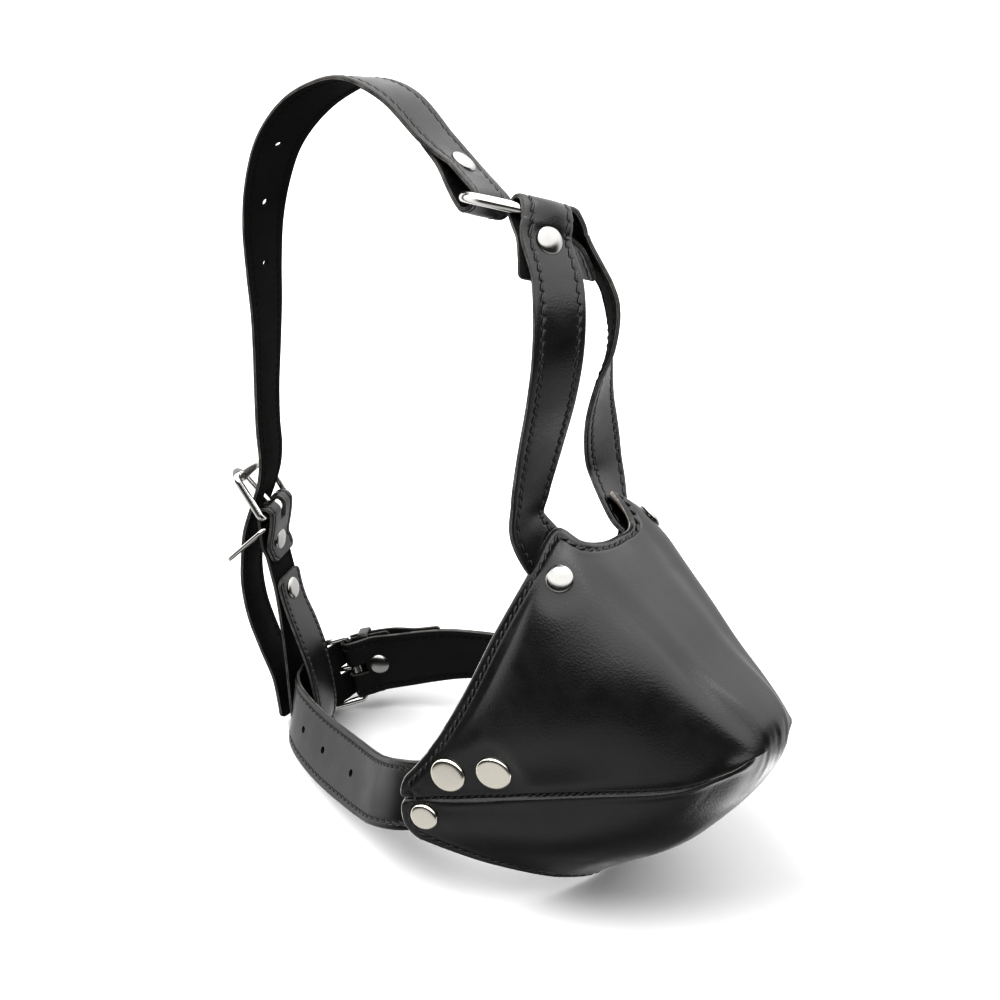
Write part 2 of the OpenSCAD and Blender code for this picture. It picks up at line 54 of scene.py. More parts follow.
def perp(v, t):
    v, t = np.asarray(v, float), np.asarray(t, float)
    return unit(v - t * np.sum(v * t, axis=-1, keepdims=True))


def cub(a, b, c, d, t):
    return 0.5 * (2 * b + (c - a) * t + (2 * a - 5 * b + 4 * c - d) * t * t + (3 * b - a - 3 * c + d) * t ** 3)


def curve(P, s):
    """Smooth curve through the points P (n, 3) at the values s."""
    P, s = np.asarray(P, float), np.atleast_1d(np.asarray(s, float))
    n = len(P) - 1
    i = np.clip(np.floor(s).astype(int), 0, n - 1)
    e = np.vstack([2 * P[0] - P[1], P, 2 * P[n] - P[n - 1]])
    return cub(e[i], e[i + 1], e[i + 2], e[i + 3], (s - i)[:, None])


def curve_each(P, s):
    """The same with its own points for each value: P is (n, count, 3)."""
    n = len(P) - 1
    i = np.clip(np.floor(s).astype(int), 0, n - 1)
    e = np.concatenate([[2 * P[0] - P[1]], P, [2 * P[n] - P[n - 1]]])
    k = np.arange(len(s))
    return cub(e[i, k], e[i + 1, k], e[i + 2, k], e[i + 3, k], (s - i)[:, None])


def smooth(a, b, x):
    t = np.clip((x - a) / (b - a), 0, 1)
    return t * t * (3 - 2 * t)


# ------------------------------------------------------------------ meshes
def add_mesh(name, verts, faces, mats, face_mat=None, sharp=38, body="muzzle"):
    """verts in mm before the shift to the frame."""
    me = bpy.data.meshes.new(name)
    me.from_pydata(((np.asarray(verts) + SHIFT) * MM).tolist(), [], faces)
    for m in mats:
        me.materials.append(m)
    if face_mat is not None:
        me.polygons.foreach_set("material_index", np.asarray(face_mat, np.int32))
    me.polygons.foreach_set("use_smooth", np.ones(len(me.polygons), bool))
    me.update()
    if sharp:
        me.set_sharp_from_angle(angle=math.radians(sharp))
    ob = bpy.data.objects.new(name, me)
    bpy.context.scene.collection.objects.link(ob)
    return ob


def cut(ob, cutters):
    """Takes the closed cutters out of ob. Their faces bring their own material number."""
    for c in cutters:
        m = ob.modifiers.new("cut", "BOOLEAN")
        m.operation, m.solver, m.object = "DIFFERENCE", "EXACT", c
    dg = bpy.context.evaluated_depsgraph_get()
    me = bpy.data.meshes.new_from_object(ob.evaluated_get(dg))
    ob.modifiers.clear()
    old = ob.data
    ob.data = me
    bpy.data.meshes.remove(old)
    me.polygons.foreach_set("use_smooth", np.ones(len(me.polygons), bool))
    me.set_sharp_from_angle(angle=math.radians(38))
    for c in cutters:
        bpy.data.objects.remove(c)


def prism(outline, p, x, y, z, lo, hi, mats, slot=1):
    """Closed prism over an outline (2-D points on x and y), from lo to hi along z."""
    k = len(outline)
    pts = [p + x * a + y * b + z * h for h in (lo, hi) for a, b in outline]
    faces = [tuple(range(k - 1, -1, -1)), tuple(range(k, 2 * k))]
    faces += [(i, (i + 1) % k, k + (i + 1) % k, k + i) for i in range(k)]
    return add_mesh("cutter", pts, faces, mats, [slot] * len(faces), sharp=0)


def round_outline(r, half=0.0, n=32):
    """Circle, or a slot stretched by half each way along y."""
    return [(r * math.cos(a), r * math.sin(a) + (half if math.sin(a) > 0 else -half))
            for a in [2 * math.pi * i / n + 1e-3 for i in range(n)]]


# ------------------------------------------------------------------ materials
def material(name):
    m = bpy.data.materials.new(name)
    m.use_nodes = True
    nt = m.node_tree
    return m, nt, nt.nodes["Principled BSDF"]


def node(nt, kind, inputs=None, **props):
    n = nt.nodes.new(kind)
    for k, v in props.items():
        setattr(n, k, v)
    for k, v in (inputs or {}).items():
        n.inputs[k].default_value = v
    return n


def ramp(nt, fac, stops):
    n = nt.nodes.new("ShaderNodeValToRGB")
    while len(n.color_ramp.elements) < len(stops):
        n.color_ramp.elements.new(0.5)
    for e, (p, c) in zip(n.color_ramp.elements, stops):
        e.position = p
        e.color = (*c, 1) if len(c) == 3 else c
    nt.links.new(fac, n.inputs[0])
    return n


def grey(v):
    return (v, v, v)


def coords(nt, scale):
    t = nt.nodes.new("ShaderNodeTexCoord")
    m = node(nt, "ShaderNodeMapping")
    m.inputs["Scale"].default_value = scale
    nt.links.new(t.outputs["Object"], m.inputs["Vector"])
    return m.outputs["Vector"]


def bump(nt, bsdf, layers):
    last = None
    for height, strength, distance in layers:
        b = node(nt, "ShaderNodeBump", {"Strength": strength, "Distance": distance})
        nt.links.new(height, b.inputs["Height"])
        if last is not None:
            nt.links.new(last, b.inputs["Normal"])
        last = b.outputs["Normal"]
    nt.links.new(last, bsdf.inputs["Normal"])


def make_leather(name, dark, light, rough, spec, grain, coat=0.0, cell=1300.0):
    """Finished leather: a fine pebble grain, a few creases, and patches of more and less polish."""
    m, nt, b = material(name)
    v = coords(nt, (1, 1, 1))
    cells = node(nt, "ShaderNodeTexVoronoi", {"Scale": cell, "Randomness": 1.0}, feature="F1")
    fine = node(nt, "ShaderNodeTexNoise", {"Scale": 1900.0, "Detail": 2.0, "Roughness": 0.6})
    patch = node(nt, "ShaderNodeTexNoise", {"Scale": 34.0, "Detail": 4.0, "Roughness": 0.55})
    wave = node(nt, "ShaderNodeTexNoise", {"Scale": 120.0, "Detail": 3.0, "Roughness": 0.5})
    for n in (cells, fine, patch, wave):
        nt.links.new(v, n.inputs["Vector"])
    c = ramp(nt, patch.outputs["Fac"], [(0.3, dark), (0.72, light)])
    nt.links.new(c.outputs["Color"], b.inputs["Base Color"])
    r = node(nt, "ShaderNodeMapRange", {"From Min": 0.3, "From Max": 0.7, "To Min": rough[0], "To Max": rough[1]})
    nt.links.new(wave.outputs["Fac"], r.inputs["Value"])
    nt.links.new(r.outputs["Result"], b.inputs["Roughness"])
    b.inputs["Specular IOR Level"].default_value = spec
    b.inputs["Coat Weight"].default_value = coat
    b.inputs["Coat Roughness"].default_value = 0.32
    bump(nt, b, [(cells.outputs["Distance"], grain, 0.0002), (fine.outputs["Fac"], grain * 0.7, 0.00008),
                 (wave.outputs["Fac"], 0.10, 0.0004)])
    return m


def make_edge(name, dark, light):
    """Raw cut edge: fibres along the cut, dyed unevenly."""
    m, nt, b = material(name)
    v = coords(nt, (1, 1, 1))
    fibre = node(nt, "ShaderNodeTexNoise", {"Scale": 1900.0, "Detail": 4.0, "Roughness": 0.7})
    patch = node(nt, "ShaderNodeTexNoise", {"Scale": 160.0, "Detail": 3.0, "Roughness": 0.6})
    nt.links.new(v, fibre.inputs["Vector"])
    nt.links.new(v, patch.inputs["Vector"])
    mix = node(nt, "ShaderNodeMix", data_type="FLOAT")
    mix.inputs[0].default_value = 0.45
    nt.links.new(patch.outputs["Fac"], mix.inputs[2])
    nt.links.new(fibre.outputs["Fac"], mix.inputs[3])
    c = ramp(nt, mix.outputs[0], [(0.36, dark), (0.62, light)])
    nt.links.new(c.outputs["Color"], b.inputs["Base Color"])
    r = node(nt, "ShaderNodeMapRange", {"To Min": 0.6, "To Max": 0.85})
    nt.links.new(fibre.outputs["Fac"], r.inputs["Value"])
    nt.links.new(r.outputs["Result"], b.inputs["Roughness"])
    b.inputs["Specular IOR Level"].default_value = 0.3
    bump(nt, b, [(fibre.outputs["Fac"], 0.5, 0.00012)])
    return m


def make_thread(name, dark, light, rough, spec):
    m, nt, b = material(name)
    v = coords(nt, (1, 1, 1))
    twist = node(nt, "ShaderNodeTexWave", {"Scale": 900.0, "Distortion": 1.5, "Detail": 2.0}, bands_direction="DIAGONAL")
    fuzz = node(nt, "ShaderNodeTexNoise", {"Scale": 3000.0, "Detail": 2.0})
    nt.links.new(v, twist.inputs["Vector"])
    nt.links.new(v, fuzz.inputs["Vector"])
    c = ramp(nt, twist.outputs["Fac"], [(0.0, dark), (1.0, light)])
    nt.links.new(c.outputs["Color"], b.inputs["Base Color"])
    r = node(nt, "ShaderNodeMapRange", {"To Min": rough[0], "To Max": rough[1]})
    nt.links.new(fuzz.outputs["Fac"], r.inputs["Value"])
    nt.links.new(r.outputs["Result"], b.inputs["Roughness"])
    b.inputs["Specular IOR Level"].default_value = spec
    bump(nt, b, [(twist.outputs["Fac"], 0.5, 0.0001)])
    return m


def make_nickel(name, dark, light, rough):
    """Plated metal: bright, with fine rub marks and a little haze."""
    m, nt, b = material(name)
    v = coords(nt, (1, 1, 1))
    haze = node(nt, "ShaderNodeTexNoise", {"Scale": 130.0, "Detail": 4.0, "Roughness": 0.6})
    rub = node(nt, "ShaderNodeTexNoise", {"Scale": 900.0, "Detail": 2.0})
    stretch = coords(nt, (0.25, 1.0, 2.2))
    nt.links.new(v, haze.inputs["Vector"])
    nt.links.new(stretch, rub.inputs["Vector"])
    c = ramp(nt, haze.outputs["Fac"], [(0.3, dark), (0.7, light)])
    nt.links.new(c.outputs["Color"], b.inputs["Base Color"])
    mix = node(nt, "ShaderNodeMix", data_type="FLOAT")
    mix.inputs[0].default_value = 0.5
    nt.links.new(haze.outputs["Fac"], mix.inputs[2])
    nt.links.new(rub.outputs["Fac"], mix.inputs[3])
    r = node(nt, "ShaderNodeMapRange", {"From Min": 0.3, "From Max": 0.7, "To Min": rough[0], "To Max": rough[1]})
    nt.links.new(mix.outputs[0], r.inputs["Value"])
    nt.links.new(r.outputs["Result"], b.inputs["Roughness"])
    b.inputs["Metallic"].default_value = 1.0
    bump(nt, b, [(rub.outputs["Fac"], 0.04, 0.00004)])
    return m


LEATHER = make_leather("leather_black", (0.0030, 0.0030, 0.0033), (0.0048, 0.0048, 0.0050), (0.28, 0.38), 1.0, 0.20, coat=0.0)
INNER = make_leather("leather_inner", (0.0075, 0.0074, 0.0073), (0.0140, 0.0137, 0.0134), (0.75, 0.9), 0.10, 0.4, cell=900.0)
DULL = make_leather("leather_dull", (0.0032, 0.0032, 0.0033), (0.0060, 0.0059, 0.0058), (0.5, 0.62), 0.35, 0.35)
LINING = make_leather("leather_lining", (0.013, 0.0125, 0.012), (0.026, 0.025, 0.024), (0.6, 0.76), 0.25, 0.35, cell=1000.0)
EDGE = make_edge("leather_edge", (0.028, 0.0266, 0.0252), (0.13, 0.123, 0.115))
EDGE_PALE = make_edge("leather_edge_pale", (0.11, 0.102, 0.095), (0.32, 0.30, 0.28))
THREAD = make_thread("thread_black", (0.004, 0.004, 0.0045), (0.020, 0.020, 0.021), (0.30, 0.52), 0.9)
THREAD_DULL = make_thread("thread_dull", (0.0055, 0.0054, 0.0053), (0.0115, 0.0112, 0.011), (0.72, 0.88), 0.12)
NICKEL = make_nickel("nickel_bright", (0.42, 0.415, 0.405), (0.48, 0.475, 0.46), (0.14, 0.26))
WIRE = make_nickel("nickel_wire", (0.70, 0.69, 0.675), (0.78, 0.77, 0.75), (0.12, 0.22))
CAP = make_nickel("nickel_cap", (0.93, 0.895, 0.81), (0.98, 0.945, 0.86), (0.15, 0.25))


# ------------------------------------------------------------------ straps
def fold(c, w, away, r, flap, qf, qm, close, lift=0.0):
    out = np.cross(w, away)
    q = 0.7071 * r
    pts = [c + away * flap + out * (qf - lift), c + away * (flap + close) / 2 + out * (qf - lift / 2),
           c + away * close + out * qf, c + away * close * 0.45 + out * (qf * 0.35 - r * 0.65), c - out * r,
           c - (out + away) * q, c - away * r, c + (out - away) * q, c + out * r,
           c + away * close * 0.45 + out * (qm * 0.35 + r * 0.65), c + away * close + out * qm]
    return [(p, w) for p in pts]


class Path:
    """A strap's middle line, by arc length in mm."""

    def __init__(self, K, bow=None):
        self.P = np.array([k[0] for k in K], float)
        self.W = np.array([k[1] for k in K], float)
        self.n = len(K) - 1
        self.bow = np.zeros(3) if bow is None else np.asarray(bow, float)
        self.s_dense = np.linspace(0, self.n, self.n * 80 + 1)
        p = curve(self.P, self.s_dense)
        self.a_dense = np.concatenate([[0], np.cumsum(np.linalg.norm(np.diff(p, axis=0), axis=1))])
        self.length = self.a_dense[-1]

    def s_of(self, a):
        return np.interp(a, self.a_dense, self.s_dense)

    def a_of(self, s):
        return float(np.interp(s, self.s_dense, self.a_dense))

    def at(self, s):
        """(point, width direction, outer direction, bend share) at the values s."""
        s = np.atleast_1d(np.asarray(s, float))
        p = curve(self.P, s)
        t = unit(curve(self.P, np.minimum(self.n, s + 0.01)) - curve(self.P, np.maximum(0, s - 0.01)))
        w = perp(curve(self.W, s), t)
        b = np.where(s < 4, np.clip((s - 1) / 3, 0, 1), np.where(s > 8, np.clip((11 - s) / 3, 0, 1), 1.0))
        return p, w, np.cross(w, t), b

    def point(self, a, x, y, half):
        """Surface points: arc length a, x across, y outwards (arrays of one shape)."""
        shape = np.shape(a)
        p, w, o, b = self.at(self.s_of(np.ravel(a)))
        xx, yy = [np.ravel(np.broadcast_to(c, shape))[:, None] for c in (x, y)]
        q = p + w * xx + o * yy + self.bow * (b[:, None] * (xx / half) ** 2)
        return q.reshape(*shape, 3)


def strap_piece(name, path, width, cad_node, groove=2.6, pitch=3.3, tip=0.0, holes=(), prong=None, rivets=(),
                cutters=(), inner_stitch=True, stitch_from=2.0, stitch_to=2.0, ds=0.42, corner=1.6, slant=0.8, dull=None):
    L, half, t = path.length, width / 2, STRAP_T
    near = [0.0, 0.12, 0.35, 0.7, 1.1]
    arcs = np.unique(np.concatenate([near, np.linspace(1.5, L - 1.5, int((L - 3) / ds)), [L - a for a in near]]))
    ends = np.minimum(arcs, L - arcs)
    h = np.full(len(arcs), half)
    c = ends < corner
    h[c] = half - corner + np.sqrt(np.maximum(0.02, corner ** 2 - (corner - ends[c]) ** 2))
    if tip:
        k = (path.n - path.s_of(arcs)) / tip
        h = np.where(k < 1, np.minimum(h, half * np.sqrt(np.clip(1 - (1 - k) ** 2, 0.1, 1))), h)
    thick = np.where(ends < 0.4, 0.72 + 0.28 * np.sqrt(np.clip(1 - (1 - ends / 0.4) ** 2, 0, 1)), 1.0)

    g = groove
    face_e = sorted([0.16, 0.42, 0.72] + [g + k for k in (-1.15, -0.9, -0.68, -0.5, -0.33, -0.16, 0, 0.16, 0.33, 0.5, 0.68, 0.9, 1.15, 1.6, 2.4)])
    rest = [half * f for f in (0.72, 0.86, 1.0) if half * f > face_e[-1] + 0.3]
    outer = [(-1, e) for e in face_e] + [(-1, e) for e in rest] + [(1, e) for e in rest[::-1][1:]] + [(1, e) for e in face_e[::-1]]
    side = [(0.05, 0.62), (0.0, 0.46), (0.0, 0.13), (0.13, 0.06), (0.13, -0.05), (0.0, -0.12), (0.0, -0.45), (0.05, -0.66)]
    inner_e = [0.22, 0.6, g - 0.5, g - 0.2, g, g + 0.2, g + 0.5, half]
    inner = [(1, e) for e in inner_e] + [(-1, e) for e in inner_e[::-1][1:]]

    N = len(arcs)
    ac = arcs[:, None]
    squeeze = np.minimum(1.0, h / (g + 3.0))[:, None]
    frac = np.mod((ac - stitch_from) / pitch, 1.0)
    phase = np.cos(2 * math.pi * frac)
    lean = slant * (np.where(frac < 0.8, frac / 0.8, (1 - frac) / 0.2) - 0.5)

    def xs(seq):
        sg = np.array([a for a, _ in seq], float)
        e = np.array([b for _, b in seq], float)
        return sg[None, :] * (h[:, None] - e[None, :] * squeeze), e

    xo, eo = xs(outer)
    hand = np.array([a for a, _ in outer], float)[None, :]
    line = np.exp(-((eo[None, :] - g + hand * lean) / 0.42) ** 2)
    yo = np.full(xo.shape, t / 2)
    yo -= line * (0.33 + 0.13 * phase)
    yo += 0.16 * np.clip(1 - (xo / np.maximum(1.0, half - g)) ** 2, 0, 1) ** 0.7
    yo += (0.10 * np.exp(-((eo - g * 0.5) / (g * 0.3)) ** 2))[None, :]
    yo -= (0.17 * np.exp(-((eo - 0.16) / 0.16) ** 2))[None, :]
    for s_r in rivets:
        r = np.sqrt((ac - path.a_of(s_r)) ** 2 + xo ** 2)
        yo -= 0.16 * np.exp(-(r / 5.4) ** 6)
    se = np.array([e for e, _ in side])
    sy = np.array([y for _, y in side]) * t / 1.8
    xr = h[:, None] - se[None, :] * squeeze
    yr = np.repeat(sy[None, :], N, 0)
    xi, ei = xs(inner)
    yi = np.full(xi.shape, -t / 2)
    yi += np.exp(-((ei - g) / 0.34) ** 2)[None, :] * (0.10 + 0.05 * phase)
    yi += (0.10 * np.exp(-((ei - 0.22) / 0.2) ** 2))[None, :]
    X = np.concatenate([xo, xr, xi, -xr[:, ::-1]], 1)
    Y = np.concatenate([yo, yr, yi, yr[:, ::-1]], 1) * thick[:, None]
    m = X.shape[1]
    pts = path.point(np.repeat(ac, m, 1), X, Y, half).reshape(-1, 3)
    i, j = np.meshgrid(np.arange(N - 1), np.arange(m), indexing="ij")
    j2 = (j + 1) % m
    quads = np.stack([i * m + j, i * m + j2, (i + 1) * m + j2, (i + 1) * m + j], -1).reshape(-1, 4)
    no, ns, ni = xo.shape[1], xr.shape[1], xi.shape[1]
    col = np.full(m, 1)
    col[: no - 1] = 0
    col[no + ns: no + ns + ni - 1] = 2
    # cut edge: two raw layers, dyed dark at the faces and with a dark line between them
    for first, marks in ((no - 1, (0, 0, 1, 1, 2, 1, 1, 2, 2)), (no + ns + ni - 1, (2, 2, 1, 1, 2, 1, 1, 0, 0))):
        for n, mk in enumerate(marks):
            col[first + n] = mk
    fm = np.array(np.broadcast_to(col[None, :], i.shape))
    if dull is not None:
        past = arcs[:-1] > path.a_of(dull)
        fm[np.ix_(past, np.arange(no - 1))] = 3
        fm[np.ix_(past, np.arange(no + ns, no + ns + ni - 1))] = 0
    fm = fm.reshape(-1).tolist()
    faces = quads.tolist() + [list(range(m - 1, -1, -1)), list(range((N - 1) * m, N * m))]
    ob = add_mesh(name, pts, faces, [LEATHER, EDGE, INNER, DULL], fm + [1, 1])
    tools = list(cutters)
    for s in holes:
        p, w, o, _ = path.at(s)
        tools.append(prism(round_outline(1.4), p[0], w[0], np.cross(o[0], w[0]), o[0], -3, 3, [LEATHER, EDGE, INNER], 2))
    if prong is not None:
        p, w, o, _ = path.at(prong)
        tools.append(prism(round_outline(2.0, 1.3), p[0], w[0], np.cross(o[0], w[0]), o[0], -3.2, 3.2, [LEATHER, EDGE, INNER], 2))
    if tools:
        cut(ob, tools)
    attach(ob, "muzzle")
    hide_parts(cad_node)

    # thread: one short arched stitch from hole to hole, laid a little aslant
    count = int((L - stitch_from - stitch_to) / pitch)
    starts = stitch_from + pitch * np.arange(count)
    tau = np.linspace(0, 1, 8)
    rows = []
    faces_of = [1, -1] if inner_stitch else [1]
    for fdir in faces_of:
        for sd in (-1, 1):
            a = starts[:, None] + pitch * (0.08 + 0.84 * tau[None, :])
            hh = np.interp(a, arcs, h)
            keep = (hh > half - 0.8).all(1)
            a, hh = a[keep], hh[keep]
            x = sd * (hh - g) + slant * (tau - 0.5)[None, :] * fdir
            y = t / 2 - 0.30 + 0.31 * np.sin(math.pi * tau)[None, :] ** 0.6 - 0.15 * (np.abs(tau - 0.5) > 0.45)[None, :]
            matt = a[:, 0] > (path.a_of(dull) if dull is not None else L)
            for part, shade in ((~matt, int(fdir < 0)), (matt, int(fdir > 0))):
                rows.append((a[part], x[part], y * fdir, shade))
    stitch_mesh(name + "_thread", [(lambda da, dx, dy, r=r: path.point(r[0] + da, r[1] + dx, r[2] + dy, half)) for r in rows],
                [r[0].shape for r in rows], shades=[r[3] for r in rows])
    return ob


def stitch_mesh(name, surfaces, shapes, rw=0.43, rh=0.30, sides=7, shades=None):
    """Closed little tubes. Each surface gives points for offsets along, across and outwards."""
    verts, faces, fm, base = [], [], [], 0
    ang = 2 * math.pi * np.arange(sides) / sides
    for f, shape, shade in zip(surfaces, shapes, shades or [0] * len(shapes)):
        n, k = shape
        if n == 0:
            continue
        size = np.sin(np.pi * np.clip(np.linspace(0.10, 0.90, k), 0, 1)) ** 0.35
        ring = [f(0.0, math.cos(a) * rw * size[None, :], math.sin(a) * rh * size[None, :]) for a in ang]
        p = np.stack(ring, 2)                                    # n, k, sides, 3
        verts.append(p.reshape(-1, 3))
        idx = base + np.arange(n * k * sides).reshape(n, k, sides)
        a, b = idx[:, :-1], idx[:, 1:]
        q = np.stack([a, np.roll(a, -1, 2), np.roll(b, -1, 2), b], -1).reshape(-1, 4)
        faces += q.tolist() + idx[:, 0, ::-1].tolist() + idx[:, -1].tolist()
        fm += [shade] * (len(faces) - len(fm))
        base += n * k * sides
    ob = add_mesh(name, np.concatenate(verts), faces, [THREAD, THREAD_DULL] if shades else [THREAD], fm, sharp=0)
    bm = bmesh.new()
    bm.from_mesh(ob.data)
    bmesh.ops.recalc_face_normals(bm, faces=bm.faces)
    bm.to_mesh(ob.data)
    bm.free()
    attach(ob, "muzzle")
    return ob


# ------------------------------------------------------------------ cup
RIM = V([-56, 0, 53], [-50.5, -8, 66], [-44, -17, 87], [-36, -25, 112], [-27.7, -32.5, 133.5],
        [-16.7, -34.5, 145.5], [-13, -43, 142.5], [-5, -44.5, 139], [5, -44, 136.5], [14, -43.5, 137],
        [16.7, -34.5, 145.5], [27.7, -32.5, 133.5], [36, -25, 112], [44, -17, 87], [50.5, -8, 66], [56, 0, 53])
BROW = V([-56.7, -0.5, 51], [-51.5, -11, 62], [-45.5, -25, 80], [-39, -36, 105], [-32, -42, 125],
         [-24, -47, 135], [-15, -50, 136.5], [-5, -53, 134], [5, -53, 133], [15, -50.5, 134],
         [24, -47, 135], [32, -42, 125], [39, -36, 105], [45.5, -25, 80], [51.5, -11, 62], [56.7, -0.5, 51])
MID = V([-57, -0.5, 48.5], [-51.5, -14, 56], [-45, -32, 70], [-37.5, -52, 86], [-29, -67, 101],
        [-20, -77, 111], [-12, -81, 112], [-4, -82, 111.5], [4, -82, 111.5], [12, -81, 112],
        [20, -77, 111], [29, -67, 101], [37.5, -52, 86], [45, -32, 70], [51.5, -14, 56], [57, -0.5, 48.5])
FRONT = V([-57, 0, 46], [-51, -16, 51], [-43, -38, 57.5], [-33.5, -65, 65.5], [-23, -92, 74],
          [-15, -107, 85], [-9, -111, 87.5], [-3, -112.5, 88], [3, -112.5, 88], [9, -111, 87.5],
          [15, -107, 85], [23, -92, 74], [33.5, -65, 65.5], [43, -38, 57.5], [51, -16, 51], [57, 0, 46])
CHIN = V([-57.2, -1, 39.5], [-53, -14, 39], [-45, -33, 39], [-35, -55, 40], [-24, -74, 43],
         [-14, -86, 44], [-8.5, -89, 43], [-3, -90, 42.5], [3, -90, 42.5], [8.5, -89, 43],
         [14, -86, 44], [24, -74, 43], [35, -55, 40], [45, -33, 39], [53, -14, 39], [57.2, -1, 39.5])
SOLE = V([-57, -2, 32], [-52, -11, 27.5], [-43, -24, 21], [-32, -34, 14], [-22, -40.5, 8],
         [-13, -45, 4], [-8, -47, 2.5], [-3, -48, 2], [3, -48, 2], [8, -47, 2.5],
         [13, -45, 4], [22, -40.5, 8], [32, -34, 14], [43, -24, 21], [52, -11, 27.5], [57, -2, 32])
ROWS = [RIM, BROW, MID, FRONT, CHIN, SOLE]
COLS = 15


def cup(u, v):
    u, v = np.ravel(np.asarray(u, float)), np.ravel(np.asarray(v, float))
    P = np.stack([curve(r, u) for r in ROWS])
    k = np.clip((6.4 - np.minimum(u, COLS - u)) / 1.8, 0, 1)[:, None]
    A = curve_each(P, v)
    lower = v >= 3
    B = np.where(lower[:, None], curve_each(P[3:], np.maximum(v - 3, 0)), curve_each(P[:4], np.minimum(v, 3)))
    return A * (1 - k) + B * k


def cup_n(u, v):
    """Inward normal."""
    u, v = np.ravel(np.asarray(u, float)), np.ravel(np.asarray(v, float))
    e = 0.02
    return unit(np.cross(cup(np.minimum(COLS, u + e), v) - cup(np.maximum(0, u - e), v),
                         cup(u, np.minimum(5, v + e)) - cup(u, np.maximum(0, v - e))))


def cup_in(u, v, d):
    return cup([u], [v])[0] + cup_n([u], [v])[0] * d


LARGE_AT = [(1.2, 1.8), (1.9, 2.35)]
SMALL_AT = [(0.65, 3.8)]
EAR_AT = [(4.7, 0.9)]


def both(L):
    return L + [(COLS - u, v) for u, v in L]


def grid_samples(fine):
    if fine:
        U = np.concatenate([np.linspace(0, COLS, 451), [0.006, 0.014, 0.024]])
        U = np.concatenate([U, COLS - U])
        W = np.concatenate([np.linspace(0, 5, 151), [0.006, 0.014, 0.024, 5 - 0.004, 5 - 0.01, 5 - 0.02],
                            3 + np.array([-0.1, -0.075, -0.055, -0.04, -0.03, -0.022, -0.015, -0.009, -0.004,
                                          0.004, 0.009, 0.015, 0.022, 0.03, 0.04, 0.05, 0.06, 0.07, 0.08, 0.09, 0.11, 0.12, 0.145])])
    else:
        U = np.concatenate([np.linspace(0, COLS, 181), [0.012, COLS - 0.012]])
        W = np.concatenate([np.linspace(0, 5, 71), [0.01, 4.99]])
    return np.unique(np.round(U, 5)), np.unique(np.round(W, 5))


def shell_mesh(name, outer, inner, nu, nv, mats, sheet_mats):
    """Closed shell over two grids of points (nu, nv, 3): outer face, inner face, cut edge."""
    k = nu * nv
    pts = np.concatenate([outer.reshape(-1, 3), inner.reshape(-1, 3)])
    i, j = np.meshgrid(np.arange(nu - 1), np.arange(nv - 1), indexing="ij")
    a = i * nv + j
    b = a + nv
    out = np.stack([a, a + 1, b + 1, b], -1).reshape(-1, 4)
    inn = np.stack([k + a, k + b, k + b + 1, k + a + 1], -1).reshape(-1, 4)
    ii, jj = np.arange(nu - 1), np.arange(nv - 1)
    lo, hi = ii * nv, ii * nv + nv - 1
    e1 = np.stack([lo, lo + nv, k + lo + nv, k + lo], -1)
    e2 = np.stack([hi, k + hi, k + hi + nv, hi + nv], -1)
    lf, rt = jj, (nu - 1) * nv + jj
    e3 = np.stack([lf, k + lf, k + lf + 1, lf + 1], -1)
    e4 = np.stack([rt, rt + 1, k + rt + 1, k + rt], -1)
    faces = np.concatenate([out, inn, e1, e2, e3, e4])
    fm = np.concatenate([sheet_mats[0], sheet_mats[1], np.full(len(e1) + len(e2) + len(e3) + len(e4), sheet_mats[2])])
    return add_mesh(name, pts, faces.tolist(), mats, fm)


END_V = np.linspace(0, 5, 501)
END_P = cup(np.zeros(501), END_V)
END_A = np.concatenate([[0], np.cumsum(np.linalg.norm(np.diff(END_P, axis=0), axis=1))])
END_U = np.linalg.norm(cup(np.full(501, 0.5), END_V) - END_P, axis=1) * 2


def trim(u, v):
    """Rounds the two tongues at each cheek's end, above and below the dart."""
    u, v = np.asarray(u, float), np.asarray(v, float)
    e, dart = np.interp(v, END_V, END_A), END_A[300]
    lo, hi = (e - dart / 2) / (dart / 2), (e - (dart + END_A[-1]) / 2) / ((END_A[-1] - dart) / 2)
    x = np.where(v < 3, lo, hi)
    r = np.where((v < 3) | (x < 0), 3.2, 6.5) * (1 - np.clip(1 - np.abs(x) ** 2.3, 0, 1) ** (1 / 2.3))
    from_end = np.minimum(u, COLS - u)
    move = r / np.interp(v, END_V, END_U) * np.clip(1 - from_end / 1.2, 0, 1)
    return np.where(u < COLS / 2, u + move, u - move)


